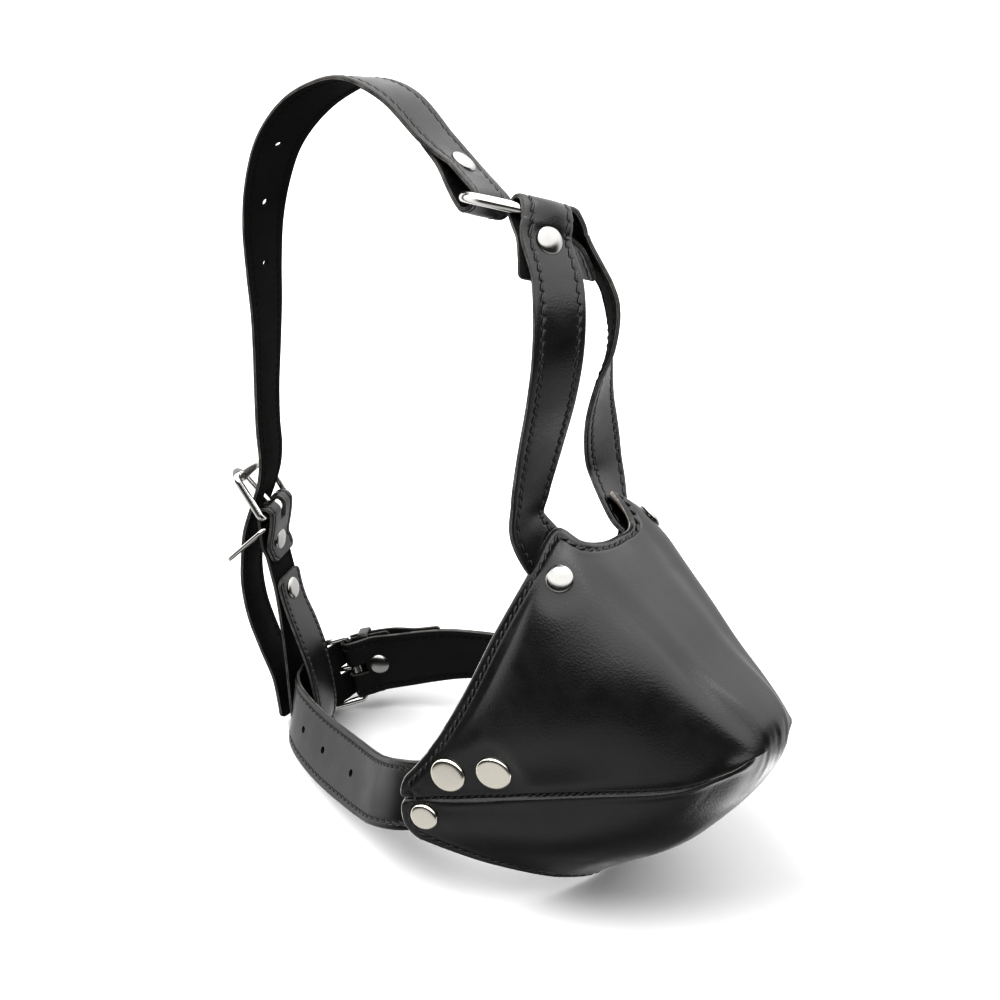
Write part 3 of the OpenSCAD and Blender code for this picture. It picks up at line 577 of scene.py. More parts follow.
def build_cup():
    U, W = grid_samples(True)
    nu, nv = len(U), len(W)
    uu, vv = [g.reshape(-1) for g in np.meshgrid(U, W, indexing="ij")]
    ut = trim(uu, vv)
    P = cup(ut, vv).reshape(nu, nv, 3)
    N = -cup_n(ut, vv).reshape(nu, nv, 3)                       # outwards
    # distance to the cut edge
    loop = np.concatenate([P[:, 0], P[-1, 1:], P[::-1, -1][1:], P[0, ::-1][1:-1]])
    seg = np.linalg.norm(np.diff(np.vstack([loop, loop[:1]]), axis=0), axis=1)
    run = np.concatenate([[0], np.cumsum(seg)[:-1]])
    tree = KDTree(len(loop))
    for n, q in enumerate(loop):
        tree.insert(q, n)
    tree.balance()
    flat = P.reshape(-1, 3)
    hit = [tree.find(q) for q in flat]
    d = np.array([h[2] for h in hit]).reshape(nu, nv)
    # arc distance from the dart's seam, below it positive
    step = np.linalg.norm(np.diff(P, axis=1), axis=2)
    arc = np.concatenate([np.zeros((nu, 1)), np.cumsum(step, 1)], 1)
    mid = int(np.argmin(np.abs(W - 3)))
    S = arc - arc[:, mid: mid + 1]
    du = np.minimum(U, COLS - U)[:, None]
    along = np.concatenate([[0], np.cumsum(np.linalg.norm(np.diff(P[:, mid], axis=0), axis=1))])
    along = (along - np.interp(COLS / 2, U, along))[:, None]
    off = np.zeros((nu, nv))
    slide = np.zeros((nu, nv))
    # rounded cut edge, row of stitches 3 mm inside it
    off -= 0.42 * np.clip(1 - d / 0.8, 0, 1) ** 2
    off += 0.14 * np.exp(-((d - 1.6) / 0.7) ** 2)
    off -= 0.48 * np.exp(-((d - 3.0) / 0.70) ** 2)
    off += 0.16 * np.exp(-((d - 4.7) / 1.0) ** 2)
    far = U[:, None] > COLS / 2
    # full cheeks: the leather swells between rim, dart and nose, and rolls softly over the nose
    belly = smooth(0.9, 3.0, du) * smooth(5.7, 3.0, du) * np.sin(math.pi * np.clip((W[None, :] - 0.65) / 2.3, 0, 1)) ** 1.2
    off += np.where(far, 2.6, 4.6) * belly
    off -= 0.9 * np.exp(-((du - 5.75) / 0.5) ** 2) * smooth(0.9, 1.6, W[None, :]) * smooth(3.0, 2.6, W[None, :])
    off -= 0.55 * np.exp(-(S / 5.0) ** 2) * smooth(5.7, 6.8, du)
    # dart: the upper leather laps over the lower one, and opens a little at the corner
    k = smooth(5.55, 5.1, du)
    mouth = np.exp(-((du - 4.78) / 0.30) ** 2) * np.where(far, 0.3, 1.0)
    up = np.clip(-S, 0, None)
    lip = np.where(S < -1e-6, 1.0, 0.0)
    off += k * lip * ((0.42 + 0.75 * mouth) * np.exp(-(up / (2.2 + 1.0 * mouth)) ** 2) - 0.35 * np.exp(-(up / 0.35) ** 2))
    off -= k * (1 - lip) * 1.15 * (1 - smooth(1.6 + 1.2 * mouth, 3.2 + 2.2 * mouth, S))
    off += k * (1 - lip) * 0.26 * np.exp(-((S - 4.6) / 1.5) ** 2)
    slide += k * lip * (0.20 + 0.45 * mouth) * np.exp(-(up / 0.8) ** 2)
    # small pleats where the leather is drawn round the front
    pleat = smooth(5.5, 6.3, du) * smooth(-9.0, 0.0, S) * smooth(17.0, 5.0, S)
    off += pleat * (0.13 * np.sin(along * 1.12 + 0.6) + 0.06 * np.sin(along * 2.1 + 2.0 + S * 0.05) + 0.14 * np.sin(along * 0.62 + 1.0))
    # slow unevenness of hand-shaped leather
    fade = smooth(2.0, 14.0, d)
    x, y, z = P[..., 0], P[..., 1], P[..., 2]
    off += fade * (0.22 * np.sin(0.085 * x + 0.06 * y + 0.3) * np.sin(0.09 * z - 0.05 * y + 1.1)
                   + 0.14 * np.sin(0.16 * y + 0.11 * z + 0.7) + 0.10 * np.sin(0.21 * x - 0.13 * z + 2.1))
    for (u, v), r0 in [(a, 6.0) for a in both(LARGE_AT)] + [(a, 4.8) for a in both(SMALL_AT)] + [(a, 4.3) for a in both(EAR_AT)]:
        c = cup([u], [v])[0]
        r = np.linalg.norm(P - c, axis=2)
        off = off * (1 - np.exp(-(r / (r0 + 4.0)) ** 3.5)) - 0.10 * np.exp(-(r / (r0 + 0.7)) ** 4)
    T = np.zeros_like(P)
    T[:, 1:-1] = P[:, 2:] - P[:, :-2]
    T[:, 0], T[:, -1] = P[:, 1] - P[:, 0], P[:, -1] - P[:, -2]
    T = unit(T)
    outer = P + N * off[..., None] + T * slide[..., None]
    inner = P - N * SHELL_T
    edge_and_groove_shade = np.zeros((nu - 1, nv - 1), int)
    um = 0.5 * (U[:-1] + U[1:])
    pale = (np.minimum(um, COLS - um) > 4.35) & (np.minimum(um, COLS - um) < 5.1)
    # raw edge along the rim; and painted shade in the dart: the groove under the lapping lip gets the matte flesh-side
    # leather, dark like the lip's shadow
    dm = 0.25 * (d[:-1, :-1] + d[1:, :-1] + d[:-1, 1:] + d[1:, 1:])
    Sm = 0.25 * (S[:-1, :-1] + S[1:, :-1] + S[:-1, 1:] + S[1:, 1:])
    wide = (1.95 + 1.3 * 0.5 * (mouth[:-1] + mouth[1:])) * smooth(5.35, 4.85, np.minimum(um, COLS - um))[:, None]
    # painted shade: the dart's groove below the lip takes slot 2, the matte flesh-side leather, standing in for the
    # shadow under the lip
    edge_and_groove_shade[(np.minimum(um, COLS - um)[:, None] < 5.3) & (Sm > -0.02) & (Sm < wide)] = 2
    edge_and_groove_shade[dm < 0.40] = 1
    edge_and_groove_shade[pale[:, None] & (Sm < 0) & (Sm > -0.42)] = 1
    n = (nu - 1) * (nv - 1)
    shell = shell_mesh("cup_shell", outer, inner, nu, nv, [LEATHER, EDGE_PALE, INNER],
                       (edge_and_groove_shade.reshape(-1), np.full(n, 2), 1))
    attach(shell, "muzzle")
    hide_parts("cup_outer")

    # lining
    U2, W2 = grid_samples(False)
    a2, b2 = [g.reshape(-1) for g in np.meshgrid(U2, W2, indexing="ij")]
    a2 = trim(a2, b2)
    P2, N2 = cup(a2, b2), cup_n(a2, b2)
    q = [(P2 + N2 * t).reshape(len(U2), len(W2), 3) for t in (SHELL_T + 0.03, SHELL_T + 0.03 + LINING_T)]
    n2 = (len(U2) - 1) * (len(W2) - 1)
    lining = shell_mesh("cup_lining_leather", q[0], q[1], len(U2), len(W2), [LINING, EDGE],
                        (np.zeros(n2, int), np.zeros(n2, int), 1))
    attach(lining, "muzzle")
    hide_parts("cup_lining")

    # stitches: the line 3 mm from the cut edge, and the dart's seam
    rim_line = contour(d, U, W, 3.0)
    lines = [(c, 3.4, -0.16, 1.25, True) for c in rim_line]
    s_line = np.linspace(0.42, 5.15, 200)
    for sg in (0, 1):
        u = s_line if sg == 0 else COLS - s_line
        per_mm = 0.02 / np.linalg.norm(cup(u, np.full(200, 3.02)) - cup(u, np.full(200, 3.0)), axis=1)
        lines.append((np.stack([u, 3 + 1.15 * per_mm], 1), 2.6, -0.72, 0.75, False))
    funcs, shapes = [], []
    tau = np.linspace(0, 1, 8)
    for uv, pitch, sink, slant, through in lines:
        pos = cup(trim(uv[:, 0], uv[:, 1]), uv[:, 1])
        a = np.concatenate([[0], np.cumsum(np.linalg.norm(np.diff(pos, axis=0), axis=1))])
        count = int(a[-1] / pitch)
        arcs = pitch * np.arange(count)[:, None] + pitch * (0.08 + 0.84 * tau[None, :])
        u, v = np.interp(arcs, a, uv[:, 0]), np.interp(arcs, a, uv[:, 1])
        u = trim(u, v)
        p = cup(u, v).reshape(*arcs.shape, 3)
        nrm = -cup_n(u, v).reshape(*arcs.shape, 3)
        tan = unit(np.gradient(p, axis=1))
        side = unit(np.cross(nrm, tan))
        arch = -0.16 + 0.25 * np.sin(math.pi * tau)[None, :] ** 0.7 - 0.2 * (np.abs(tau - 0.5) > 0.45)[None, :]
        lean = slant * (tau - 0.5)[None, :]
        for top in ([True, False] if through else [True]):
            base = p + side * lean[..., None] + nrm * ((arch + sink) if top else (-SHELL_T - 0.06 - LINING_T - arch - 0.12))[..., None]
            sg = 1.0 if top else -1.0
            funcs.append(lambda da, dx, dy, base=base, side=side, nrm=nrm, sg=sg:
                         base + side * np.broadcast_to(dx, base.shape[:2])[..., None] + sg * nrm * np.broadcast_to(dy, base.shape[:2])[..., None])
            shapes.append(arcs.shape)
    stitch_mesh("cup_thread", funcs, shapes, rw=0.50, rh=0.36)


def contour(F, U, W, level):
    """Lines of one level through a grid, as lists of (u, v)."""
    nu, nv = F.shape
    links, where = {}, {}

    def crossing(i, j, horizontal):
        key = (i, j, horizontal)
        if key not in where:
            a = F[i, j] - level
            b = (F[i + 1, j] if horizontal else F[i, j + 1]) - level
            t = a / (a - b)
            where[key] = (U[i] + t * (U[i + 1] - U[i]), W[j]) if horizontal else (U[i], W[j] + t * (W[j + 1] - W[j]))
        return key

    up = F > level
    for i, j in zip(*np.where((up[:-1, :-1] != up[1:, :-1]) | (up[:-1, :-1] != up[:-1, 1:]) | (up[1:, 1:] != up[:-1, 1:]) | (up[1:, 1:] != up[1:, :-1]))):
        c = []
        if up[i, j] != up[i + 1, j]:
            c.append(crossing(i, j, True))
        if up[i + 1, j] != up[i + 1, j + 1]:
            c.append(crossing(i + 1, j, False))
        if up[i, j + 1] != up[i + 1, j + 1]:
            c.append(crossing(i, j + 1, True))
        if up[i, j] != up[i, j + 1]:
            c.append(crossing(i, j, False))
        for a, b in zip(c[::2], c[1::2]):
            links.setdefault(a, []).append(b)
            links.setdefault(b, []).append(a)
    left, lines = set(links), []
    while left:
        k = min(left)
        line = [k]
        left.discard(k)
        while True:
            nxt = [x for x in links[line[-1]] if x in left]
            if not nxt:
                break
            line.append(nxt[0])
            left.discard(nxt[0])
        if len(line) > 30:
            pts = np.array([where[x] for x in line + line[:1]])
            lines.append(pts)
    return lines


build_cup()

# ------------------------------------------------------------------ ring and straps on it
RING_C, RING_R, TILT = V(0, -6.5, 240.5), 16.5, math.radians(21)
RING_E, Y1 = V(math.cos(TILT), 0, -math.sin(TILT)), V(0, 1, 0)


def ring(a):
    a = math.radians(a)
    rad = math.cos(a) * RING_E + math.sin(a) * Y1
    return RING_C + RING_R * rad, rad, -math.sin(a) * RING_E + math.cos(a) * Y1


FOLD_R = 3.6 / 2 + 0.8 + STRAP_T / 2


def ring_fold(a, way, *rest):
    c, rad, tan = ring(a)
    w = -tan
    return fold(c, w, perp(way, w), FOLD_R, *rest), -rad * 18 * 18 / 7.3 / RING_R


def K(*rows):
    return [(V(*p), V(*w)) for p, w in rows]


f, bow = ring_fold(-114, (-0.41, -0.5, -0.76), 21, -1.6, 0.6, 9, 1.2)
LEFT_NOSE = Path(f + K(
    ((-14, -32, 227.5), (-0.91, 0.37, 0.2)), ((-17.7, -35.8, 218), (-0.91, 0.38, 0.15)),
    ((-20.2, -37.2, 205), (-0.93, 0.36, 0.1)), ((-21, -35.5, 190), (-0.95, 0.31, 0.1)),
    ((-21.5, -32, 173), (-0.97, 0.2, 0.1)), ((-23, -29.8, 158), (-0.99, 0.05, 0.12)),
    ((-24.3, -29.8, 147.5), (-0.97, -0.05, -0.1)), ((-19.6, -35.2, 135.5), (-0.92, 0.25, -0.36)),
    ((-20.6, -42.5, 129.8), (-0.92, 0.25, -0.36)), ((-20, -50.5, 124.5), (-0.92, 0.25, -0.36))), bow)
f, bow = ring_fold(-30.5, (0.25, -0.6, -0.76), 19, -2.4, 0.6, 9, 2.6)
RIGHT_NOSE = Path(f + K(
    ((19.8, -26.4, 216.1), (-0.62, -0.77, 0.12)), ((19.7, -29.8, 208.2), (-0.68, -0.73, 0)),
    ((18.8, -30.8, 198.2), (-0.8, -0.57, -0.14)), ((18.7, -28.4, 186.1), (-0.92, -0.32, -0.24)),
    ((20.5, -26, 172), (-0.96, -0.1, -0.24)), ((24, -25, 158), (-0.98, 0.05, -0.15)),
    ((24.7, -26.8, 147.5), (-0.99, 0, 0.05)), ((19.8, -35.4, 135.8), (-0.92, -0.25, 0.28)),
    ((20.6, -42.5, 130), (-0.92, -0.25, 0.28)), ((19.8, -50.5, 124.6), (-0.92, -0.25, 0.28))), bow)
f, bow = ring_fold(85, (0.12, 0.8, 0.58), 32, -0.9, 2.2, 15)
HEAD = Path(f + K(
    ((5.2, 29.8, 256.5), (0.97, -0.06, -0.2)), ((4.5, 44.1, 267.5), (1, -0.04, -0.1)),
    ((3.5, 60, 271), (0.98, -0.07, -0.18)), ((4, 75, 266), (0.94, -0.15, -0.28)),
    ((3.5, 88, 257.5), (0.92, -0.23, -0.33)), ((2, 98, 245.5), (0.93, -0.25, -0.26)),
    ((1, 104, 231), (0.97, -0.2, -0.15)), ((0, 106.8, 216), (0.99, -0.08, -0.04)),
    ((0, 108, 200), (1, 0.06, 0.03)), ((1, 109.5, 183), (0.98, 0.17, 0.04)),
    ((1.5, 111.5, 166), (0.97, 0.25, 0)), ((0.5, 112.2, 150), (0.94, 0.31, -0.1)),
    ((-1, 111.5, 136), (0.94, 0.33, -0.08)), ((-1.5, 110.8, 125), (0.94, 0.34, 0)),
    ((-2, 111.8, 116), (0.94, 0.34, 0)), ((-2.5, 115, 107), (0.94, 0.34, 0)),
    ((-3, 118.6, 98.5), (0.94, 0.34, 0)), ((-3.8, 121.3, 90), (0.94, 0.34, 0)),
    ((-4.3, 123, 79), (0.94, 0.34, 0)), ((-4, 125, 66), (0.93, 0.37, 0)),
    ((-3.2, 124.2, 51), (0.92, 0.39, 0)), ((-2.5, 119.5, 37), (0.92, 0.4, 0)),
    ((-2, 113.8, 24), (0.92, 0.4, 0)), ((-2.5, 110.8, 12), (0.93, 0.37, 0)),
    ((-2.5, 110.3, 4), (0.93, 0.37, 0))), bow)

REAR_W = unit(V(0.94, 0.34, 0))
REAR_OUT = V(-REAR_W[1], REAR_W[0], 0)
HEEL = V(-1, 111.5, 100.5)
BAR_R = 3 / 2 + 0.35 + STRAP_T / 2
BW = (0.93, 0.33, -0.15)
RW = tuple(REAR_W)
BACK = Path(fold(HEEL, REAR_W, V(0, 0, -1), BAR_R, 21, -0.3, 2.1, 14, 2) + K(
    ((-1, 112.2, 81), BW), ((-0.5, 111, 74), BW), ((0, 109.4, 64), BW), ((0, 108, 50), BW),
    ((0, 107, 34), RW), ((0, 106.6, 18), RW), ((0, 106, 8), RW), ((0, 103, 3), RW), ((0, 97.5, 1.9), RW),
    ((0, 93, 4.4), RW), ((0, 91.2, 11), RW), ((0, 91.7, 22), RW), ((0, 94.5, 35), RW), ((0, 99.8, 48), RW),
    ((0, 104.8, 58), BW), ((0, 107, 65), BW), ((0, 108, 71), BW)))

NB_T = unit(V(0.5, -0.82, 0.27))
NB_W = perp(V(-0.05, 0.28, 0.96), NB_T)
NB_OUT = np.cross(NB_W, NB_T)
NF_T = perp(V(0.68, -0.7, 0.12), NB_W)
NB_HEEL = V(22, 93.4, 19.8)


def nb(p, q):
    return NB_HEEL - NF_T * p + np.cross(NB_W, NF_T) * q


def chord(u, v1, v2, k=1, more=0.0):
    d = SHELL_T + LINING_T + STRAP_T / 2 + 0.25 + more
    a, b = cup_in(u, v1, d), cup_in(u, v2, d)
    return ((a + b) / 2, unit(a - b) * k)


LEFT_NECK = Path([chord(2.6, 1.9, 3.95), chord(1.95, 1.75, 4), chord(1.3, 1.5, 4.1, 1, 0.5), chord(0.65, 1, 4.3, 1, 1.3)] + K(
    ((-52.3, 4.5, 42.5), (0.3, 0.28, 0.9)), ((-49.5, 17, 36.5), (0.46, 0.16, 0.87)),
    ((-44.5, 28, 31.5), (0.5, 0.1, 0.86)), ((-39.5, 40, 27.8), (0.51, 0.04, 0.86)),
    ((-35, 51.5, 24.8), (0.5, 0, 0.87)), ((-30.5, 63, 22.3), (0.45, -0.03, 0.89)),
    ((-26, 74, 20.7), (0.4, -0.05, 0.92)), ((-21.3, 84, 19.5), (0.33, -0.07, 0.94)),
    ((-16, 92.5, 18.5), (0.25, -0.05, 0.97)), ((-9, 99, 17.2), (0.17, 0, 0.99)),
    ((-1.5, 101.5, 16), (0.08, 0.09, 0.99))) + [
    (nb(13.8, -5.4), NB_W), (nb(8.3, -0.6), NB_W), (nb(3, 4.2), NB_W), (NB_HEEL + NB_T * 3 + NB_OUT * 6, NB_W),
    (NB_HEEL + NB_T * 11 + NB_OUT * 6.2, NB_W), (NB_HEEL + NB_T * 20 + NB_OUT * 5.4, V(-0.11, 0.3, 0.94))] + K(
    ((38.5, 69, 27.8), (-0.13, 0.28, 0.95)), ((42.5, 60.5, 30.4), (-0.13, 0.2, 0.96))))
RIGHT_NECK = Path(fold(NB_HEEL, -NB_W, NB_T, BAR_R, 17, -3.3, 0, 10) + K(
    ((31.5, 75, 26), (0.12, -0.29, -0.95)), ((36, 65, 29.4), (0.13, -0.21, -0.97)),
    ((41, 55, 31.8), (0.15, -0.12, -0.98)), ((46, 43, 33.5), (0.2, -0.05, -0.98)),
    ((50, 30, 35.5), (0.3, -0.08, -0.95)), ((52.3, 18, 38), (0.36, -0.15, -0.92)),
    ((52.3, 5, 42.3), (0.3, -0.28, -0.9))) + [
    chord(COLS - 0.65, 1, 4.3, -1, 1.3), chord(COLS - 1.3, 1.5, 4.1, -1, 0.5),
    chord(COLS - 1.95, 1.75, 4, -1), chord(COLS - 2.6, 1.9, 3.95, -1)])


def slot_cutter(p, x, y, z, lo, hi, mats=None):
    """Box from lo to hi in the axes x, y, z at p."""
    o = [(lo[0], lo[1]), (hi[0], lo[1]), (hi[0], hi[1]), (lo[0], hi[1])]
    return prism(o, p, x, y, z, lo[2], hi[2], [LEATHER, EDGE])


strap_piece("nose_strap_near", LEFT_NOSE, 18, "nose_strap_left", tip=2.4, rivets=(10,))
strap_piece("nose_strap_far", RIGHT_NOSE, 18, "nose_strap_right", tip=2.4, rivets=(10,))
strap_piece("head_strap_leather", HEAD, 18, "head_strap", tip=0.6, rivets=(9.9,), holes=(16.05, 17.5, 18.95), prong=26.25)
strap_piece("back_strap_leather", BACK, 18, "back_strap", groove=2.0, pitch=2.9, rivets=(1.9, 25.9), corner=3.0, cutters=[
    slot_cutter(HEEL, REAR_W, REAR_OUT, V(0, 0, 1), (-2.2, -9, -4.5), (2.2, 9, 9.5))])
strap_piece("neck_strap_near", LEFT_NECK, 25, "neck_strap_left", holes=(6.8, 8.85, 10.5, 12.2), prong=16.5)
NX, NZ = -NB_W, np.cross(NB_W, NF_T)
NY = np.cross(NZ, NX)
strap_piece("neck_strap_far", RIGHT_NECK, 25, "neck_strap_right", rivets=(10,), dull=7.0, cutters=[
    slot_cutter(NB_HEEL, NX, NY, NZ, (-2.3, -4.5, -9), (2.3, 9.5, 9))])


def keeper_loop():
    """Leather loop round the neck strap's tail."""
    p0, ax, out = NB_HEEL + NB_T * 6 + NB_OUT * 4.55, NB_T, NB_OUT
    yy = np.cross(ax, out)
    a, b, r, wide, t = 6.5 / 2, 27.1 / 2, 1.1, 4.4, 1.1
    path = []
    for cx, cy, a0 in ((a - r, b - r, 0), (-(a - r), b - r, 90), (-(a - r), -(b - r), 180), (a - r, -(b - r), 270)):
        for k in range(9):
            q = math.radians(a0 + 90 * k / 8)
            path.append((cx + r * math.cos(q), cy + r * math.sin(q), math.cos(q), math.sin(q)))
    sec = [(-2.2, -0.25), (-2.05, -0.48), (-1.7, -0.55), (1.7, -0.55), (2.05, -0.48), (2.2, -0.25),
           (2.2, 0.25), (2.05, 0.46), (1.7, 0.55), (0.9, 0.6), (0, 0.62), (-0.9, 0.6), (-1.7, 0.55), (-2.05, 0.46), (-2.2, 0.25)]
    n, m = len(path), len(sec)
    pts = [p0 + ax * sx + out * (x + nx * sy) + yy * (y + ny * sy) for x, y, nx, ny in path for sx, sy in sec]
    faces = [(i * m + j, i * m + (j + 1) % m, (i + 1) % n * m + (j + 1) % m, (i + 1) % n * m + j) for i in range(n) for j in range(m)]
    mat = [1 if j in (0, 4, 5, 6, 13, 14) else (2 if j in (1, 2, 3) else 0) for i in range(n) for j in range(m)]
    ob = add_mesh("neck_keeper_leather", pts, faces, [LEATHER, EDGE, INNER], mat)
    bm = bmesh.new()
    bm.from_mesh(ob.data)
    bmesh.ops.recalc_face_normals(bm, faces=bm.faces)
    bm.to_mesh(ob.data)
    bm.free()
    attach(ob, "muzzle")
    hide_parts("neck_keeper")


keeper_loop()

# ------------------------------------------------------------------ metal
def spin(profile, p, z, x, segs=72):
    """Closed turned shape about z: a profile from pole to pole as (radius, height)."""
    y = np.cross(z, x)
    rings = profile[1:-1]
    ang = 2 * math.pi * np.arange(segs) / segs
    pts = [p + z * profile[0][1]]
    for r, h in rings:
        pts += [p + z * h + (x * math.cos(a) + y * math.sin(a)) * r for a in ang]
    pts.append(p + z * profile[-1][1])
    m, last = len(rings), 1 + len(rings) * segs
    faces = [(0, 1 + i, 1 + (i + 1) % segs) for i in range(segs)]
    for k in range(m - 1):
        a, b = 1 + k * segs, 1 + (k + 1) * segs
        faces += [(a + i, b + i, b + (i + 1) % segs, a + (i + 1) % segs) for i in range(segs)]
    a = 1 + (m - 1) * segs
    faces += [(last, a + (i + 1) % segs, a + i) for i in range(segs)]
    return pts, faces


def rivet_profile(cap, grip, dome):
    R = cap / 2
    if dome:
        top = [(R * math.sin(q), 0.2 + (dome - 0.2) * math.cos(q)) for q in [math.pi / 2 * i / 16 for i in range(17)]]
    else:
        top = [(0, 1.22), (0.25 * R, 1.215), (0.5 * R, 1.20), (0.68 * R, 1.18), (0.78 * R, 1.15), (0.85 * R, 1.10),
               (0.90 * R, 1.01), (0.94 * R, 0.89), (0.97 * R, 0.74), (0.99 * R, 0.56), (R, 0.38)]
    q = 0.4 * cap
    return top + [(R, 0.16), (0.985 * R, 0.07), (0.96 * R, 0.05), (1.45, 0.05), (1.45, -grip - 0.05), (q - 0.1, -grip - 0.05),
                  (q, -grip - 0.15), (q, -grip - 0.3), (0.97 * q, -grip - 0.48), (0.9 * q, -grip - 0.66),
                  (0.76 * q, -grip - 0.82), (0.5 * q, -grip - 0.89), (0, -grip - 0.9)]


def rivet_piece(name, places, cad_node, cap, dome, mat):
    pts, faces = [], []
    for p, z, x, grip in places:
        a, f = spin(rivet_profile(cap, grip, dome), p, z, perp(x, z))
        faces += [tuple(i + len(pts) for i in q) for q in f]
        pts += a
    ob = add_mesh(name, pts, faces, [mat], sharp=40)
    bm = bmesh.new()
    bm.from_mesh(ob.data)
    bmesh.ops.recalc_face_normals(bm, faces=bm.faces)
    bm.to_mesh(ob.data)
    bm.free()
    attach(ob, "muzzle")
    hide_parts(cad_node)


def on_cup(L, grip):
    return [(cup([u], [v])[0], -cup_n([u], [v])[0], V(0, 0, 1), grip) for u, v in both(L)]


def on_strap(path, s, grip):
    p, w, o, _ = path.at(s)
    return (p[0] + o[0] * STRAP_T / 2, o[0], w[0], grip)


rivet_piece("cheek_caps_large", on_cup(LARGE_AT, 6.4), "cheek_rivets_large", 12.5, 0, CAP)
rivet_piece("cheek_caps_small", on_cup(SMALL_AT, 6.4), "cheek_rivets_small", 10, 0, CAP)
rivet_piece("ear_caps", on_cup(EAR_AT, 7.6), "ear_rivets", 9, 1.7, NICKEL)
rivet_piece("nose_strap_caps", [on_strap(LEFT_NOSE, 10, 4.05), on_strap(RIGHT_NOSE, 10, 4.5)], "nose_strap_rivets", 9, 1.7, NICKEL)
rivet_piece("head_strap_cap", [on_strap(HEAD, 9.9, 4.8)], "head_strap_rivet", 9, 1.7, NICKEL)
rivet_piece("back_strap_caps", [on_strap(BACK, s, 4.3) for s in (1.9, 25.9)], "back_strap_rivets", 9, 1.5, NICKEL)
rivet_piece("neck_buckle_cap", [on_strap(RIGHT_NECK, 10, 5.15)], "neck_buckle_rivet", 9, 1.5, NICKEL)

for name, ob in NODES.items():
    if ob.hide_render:
        continue
    ob.data.materials.clear()
    ob.data.materials.append(WIRE)
    ob.data.polygons.foreach_set("use_smooth", np.ones(len(ob.data.polygons), bool))
    ob.data.set_sharp_from_angle(angle=math.radians(32))

# ------------------------------------------------------------------ floor, light, camera
floor_m, nt, b = material("floor_pale")
v = coords(nt, (1, 1, 1))
spots = node(nt, "ShaderNodeTexNoise", {"Scale": 9.0, "Detail": 3.0})
nt.links.new(v, spots.inputs["Vector"])
c = ramp(nt, spots.outputs["Fac"], [(0.2, (0.45, 0.45, 0.45)), (0.8, (0.465, 0.465, 0.465))])
nt.links.new(c.outputs["Color"], b.inputs["Base Color"])
b.inputs["Roughness"].default_value = 0.7
b.inputs["Specular IOR Level"].default_value = 0.2
me = bpy.data.meshes.new("floor")
me.from_pydata([(-9, -9, 0), (9, -9, 0), (9, 9, 0), (-9, 9, 0)], [], [(0, 1, 2, 3)])
me.materials.append(floor_m)
floor = bpy.data.objects.new("floor", me)
bpy.context.scene.collection.objects.link(floor)

# pale wall far behind on all sides, only there to be seen
arc = [(6.4 + 1.6 * math.sin(a), 1.6 - 1.6 * math.cos(a)) for a in [math.pi / 2 * i / 12 for i in range(13)]] + [(8.0, 9.0)]
ring_n = 96
wall = [(r * math.cos(2 * math.pi * k / ring_n), r * math.sin(2 * math.pi * k / ring_n), z + 0.002) for r, z in arc for k in range(ring_n)]
quads = [(i * ring_n + k, i * ring_n + (k + 1) % ring_n, (i + 1) * ring_n + (k + 1) % ring_n, (i + 1) * ring_n + k)
         for i in range(len(arc) - 1) for k in range(ring_n)]
me = bpy.data.meshes.new("wall")
me.from_pydata(wall, [], quads)
me.polygons.foreach_set("use_smooth", np.ones(len(me.polygons), bool))
wall_m, nt, b = material("wall_pale")
spots = node(nt, "ShaderNodeTexNoise", {"Scale": 0.7, "Detail": 2.0})
nt.links.new(coords(nt, (1, 1, 1)), spots.inputs["Vector"])
c = ramp(nt, spots.outputs["Fac"], [(0.2, (0.74, 0.74, 0.74)), (0.8, (0.78, 0.78, 0.78))])
nt.links.new(c.outputs["Color"], b.inputs["Base Color"])
b.inputs["Roughness"].default_value = 0.9
b.inputs["Specular IOR Level"].default_value = 0.0
me.materials.append(wall_m)
wall_ob = bpy.data.objects.new("wall", me)
bpy.context.scene.collection.objects.link(wall_ob)
wall_ob.visible_glossy = wall_ob.visible_diffuse = wall_ob.visible_shadow = wall_ob.visible_transmission = False

scene = bpy.context.scene
scene.view_settings.view_transform = "Standard"
scene.view_settings.gamma = 0.72
world = bpy.data.worlds.new("studio")
scene.world = world
world.use_nodes = True
wt = world.node_tree
bg = wt.nodes["Background"]
# soft white tent with a brighter top. The polished leather mirrors the tent's own lower half in place of the
# floor: white sweep on the far side, dim room on the near side.
tc = wt.nodes.new("ShaderNodeTexCoord")
sep = wt.nodes.new("ShaderNodeSeparateXYZ")
wt.links.new(tc.outputs["Generated"], sep.inputs[0])
half = node(wt, "ShaderNodeMapRange", {"From Min": -1.0, "From Max": 1.0})
wt.links.new(sep.outputs["Z"], half.inputs["Value"])
TENT = 4.0


def tent(stops):
    return ramp(wt, half.outputs["Result"], [(p, grey(l / TENT)) for p, l in stops])


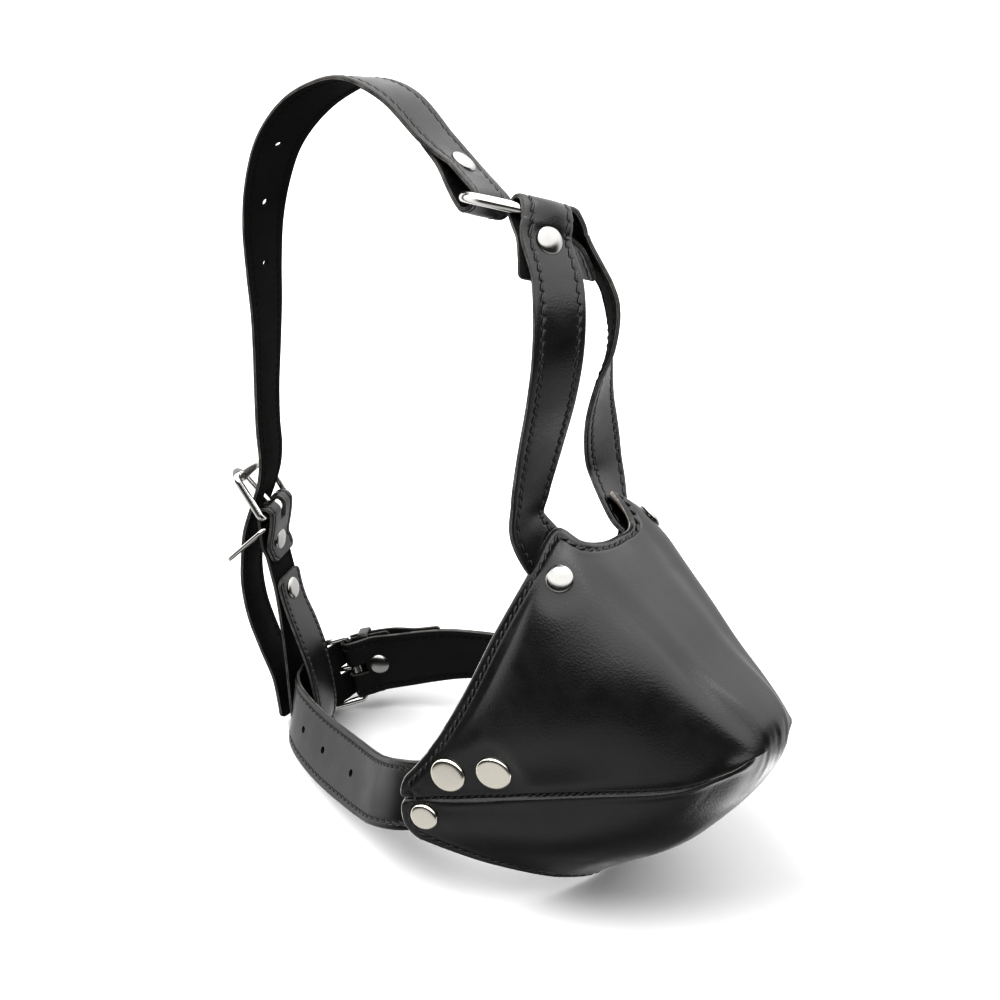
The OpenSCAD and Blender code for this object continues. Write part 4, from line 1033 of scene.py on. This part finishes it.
near = tent([(0.0, 0.15), (0.03, 0.20), (0.08, 0.76), (0.285, 0.76), (0.345, 0.12), (0.40, 0.06), (0.595, 0.06), (0.63, 0.5),
             (0.675, 2.2), (0.90, 2.1), (0.97, 4.0)])
far = tent([(0.0, 0.15), (0.03, 0.20), (0.08, 1.1), (0.30, 1.25), (0.55, 1.6), (0.67, 2.25), (0.90, 2.2), (0.97, 4.0)])
toward = node(wt, "ShaderNodeVectorMath", operation="DOT_PRODUCT")
toward.inputs[1].default_value = (0.79, 0.61, 0.0)
wt.links.new(tc.outputs["Generated"], toward.inputs[0])
share = node(wt, "ShaderNodeMapRange", {"From Min": -0.2, "From Max": 0.25}, interpolation_type="SMOOTHSTEP")
wt.links.new(toward.outputs["Value"], share.inputs["Value"])
sky = node(wt, "ShaderNodeMix", data_type="RGBA")
wt.links.new(share.outputs["Result"], sky.inputs[0])
wt.links.new(near.outputs["Color"], sky.inputs[6])
wt.links.new(far.outputs["Color"], sky.inputs[7])
wt.links.new(sky.outputs[2], bg.inputs["Color"])
bg.inputs["Strength"].default_value = TENT
floor.visible_glossy = False


def area(name, loc, target, size, power, colour=(1, 1, 1)):
    l = bpy.data.lights.new(name, "AREA")
    l.shape, l.size, l.size_y, l.energy, l.color = "RECTANGLE", size[0], size[1], power, colour
    o = bpy.data.objects.new(name, l)
    o.location = loc
    o.rotation_euler = (Vector(target) - Vector(loc)).to_track_quat("-Z", "Y").to_euler()
    scene.collection.objects.link(o)
    return o


sun = bpy.data.lights.new("key_light", "SUN")
sun.energy, sun.angle = 4.2, math.radians(34)
sun_ob = bpy.data.objects.new("key_light", sun)
sun_ob.rotation_euler = (Vector((0, 0, 0)) - Vector((-0.45, 0.30, 0.95))).to_track_quat("-Z", "Y").to_euler()
sun_ob.visible_glossy = False
scene.collection.objects.link(sun_ob)
low = area("low_reflector", (0.035, -0.165, 0.001), (0.035, -0.165, 1.0), (0.11, 0.09), 0.10)
low.visible_camera = False
low.visible_diffuse = False

cam = bpy.data.cameras.new("camera")
cam.lens, cam.sensor_width = 52.2, 36.0
cam.clip_start, cam.clip_end = 0.02, 60
cam_ob = bpy.data.objects.new("camera", cam)
scene.collection.objects.link(cam_ob)
back = Vector((-0.7048, -0.5418, 0.4579)).normalized()
right = Vector((0.6094, -0.7928, 0.0)).normalized()
up = back.cross(right)
right = up.cross(back)
aim = Vector((-0.2, -9.3, 137.5)) * MM
m4 = Matrix((right, up, back)).transposed().to_4x4()
m4.translation = aim + back * 0.4961
cam_ob.matrix_world = m4
scene.camera = cam_ob
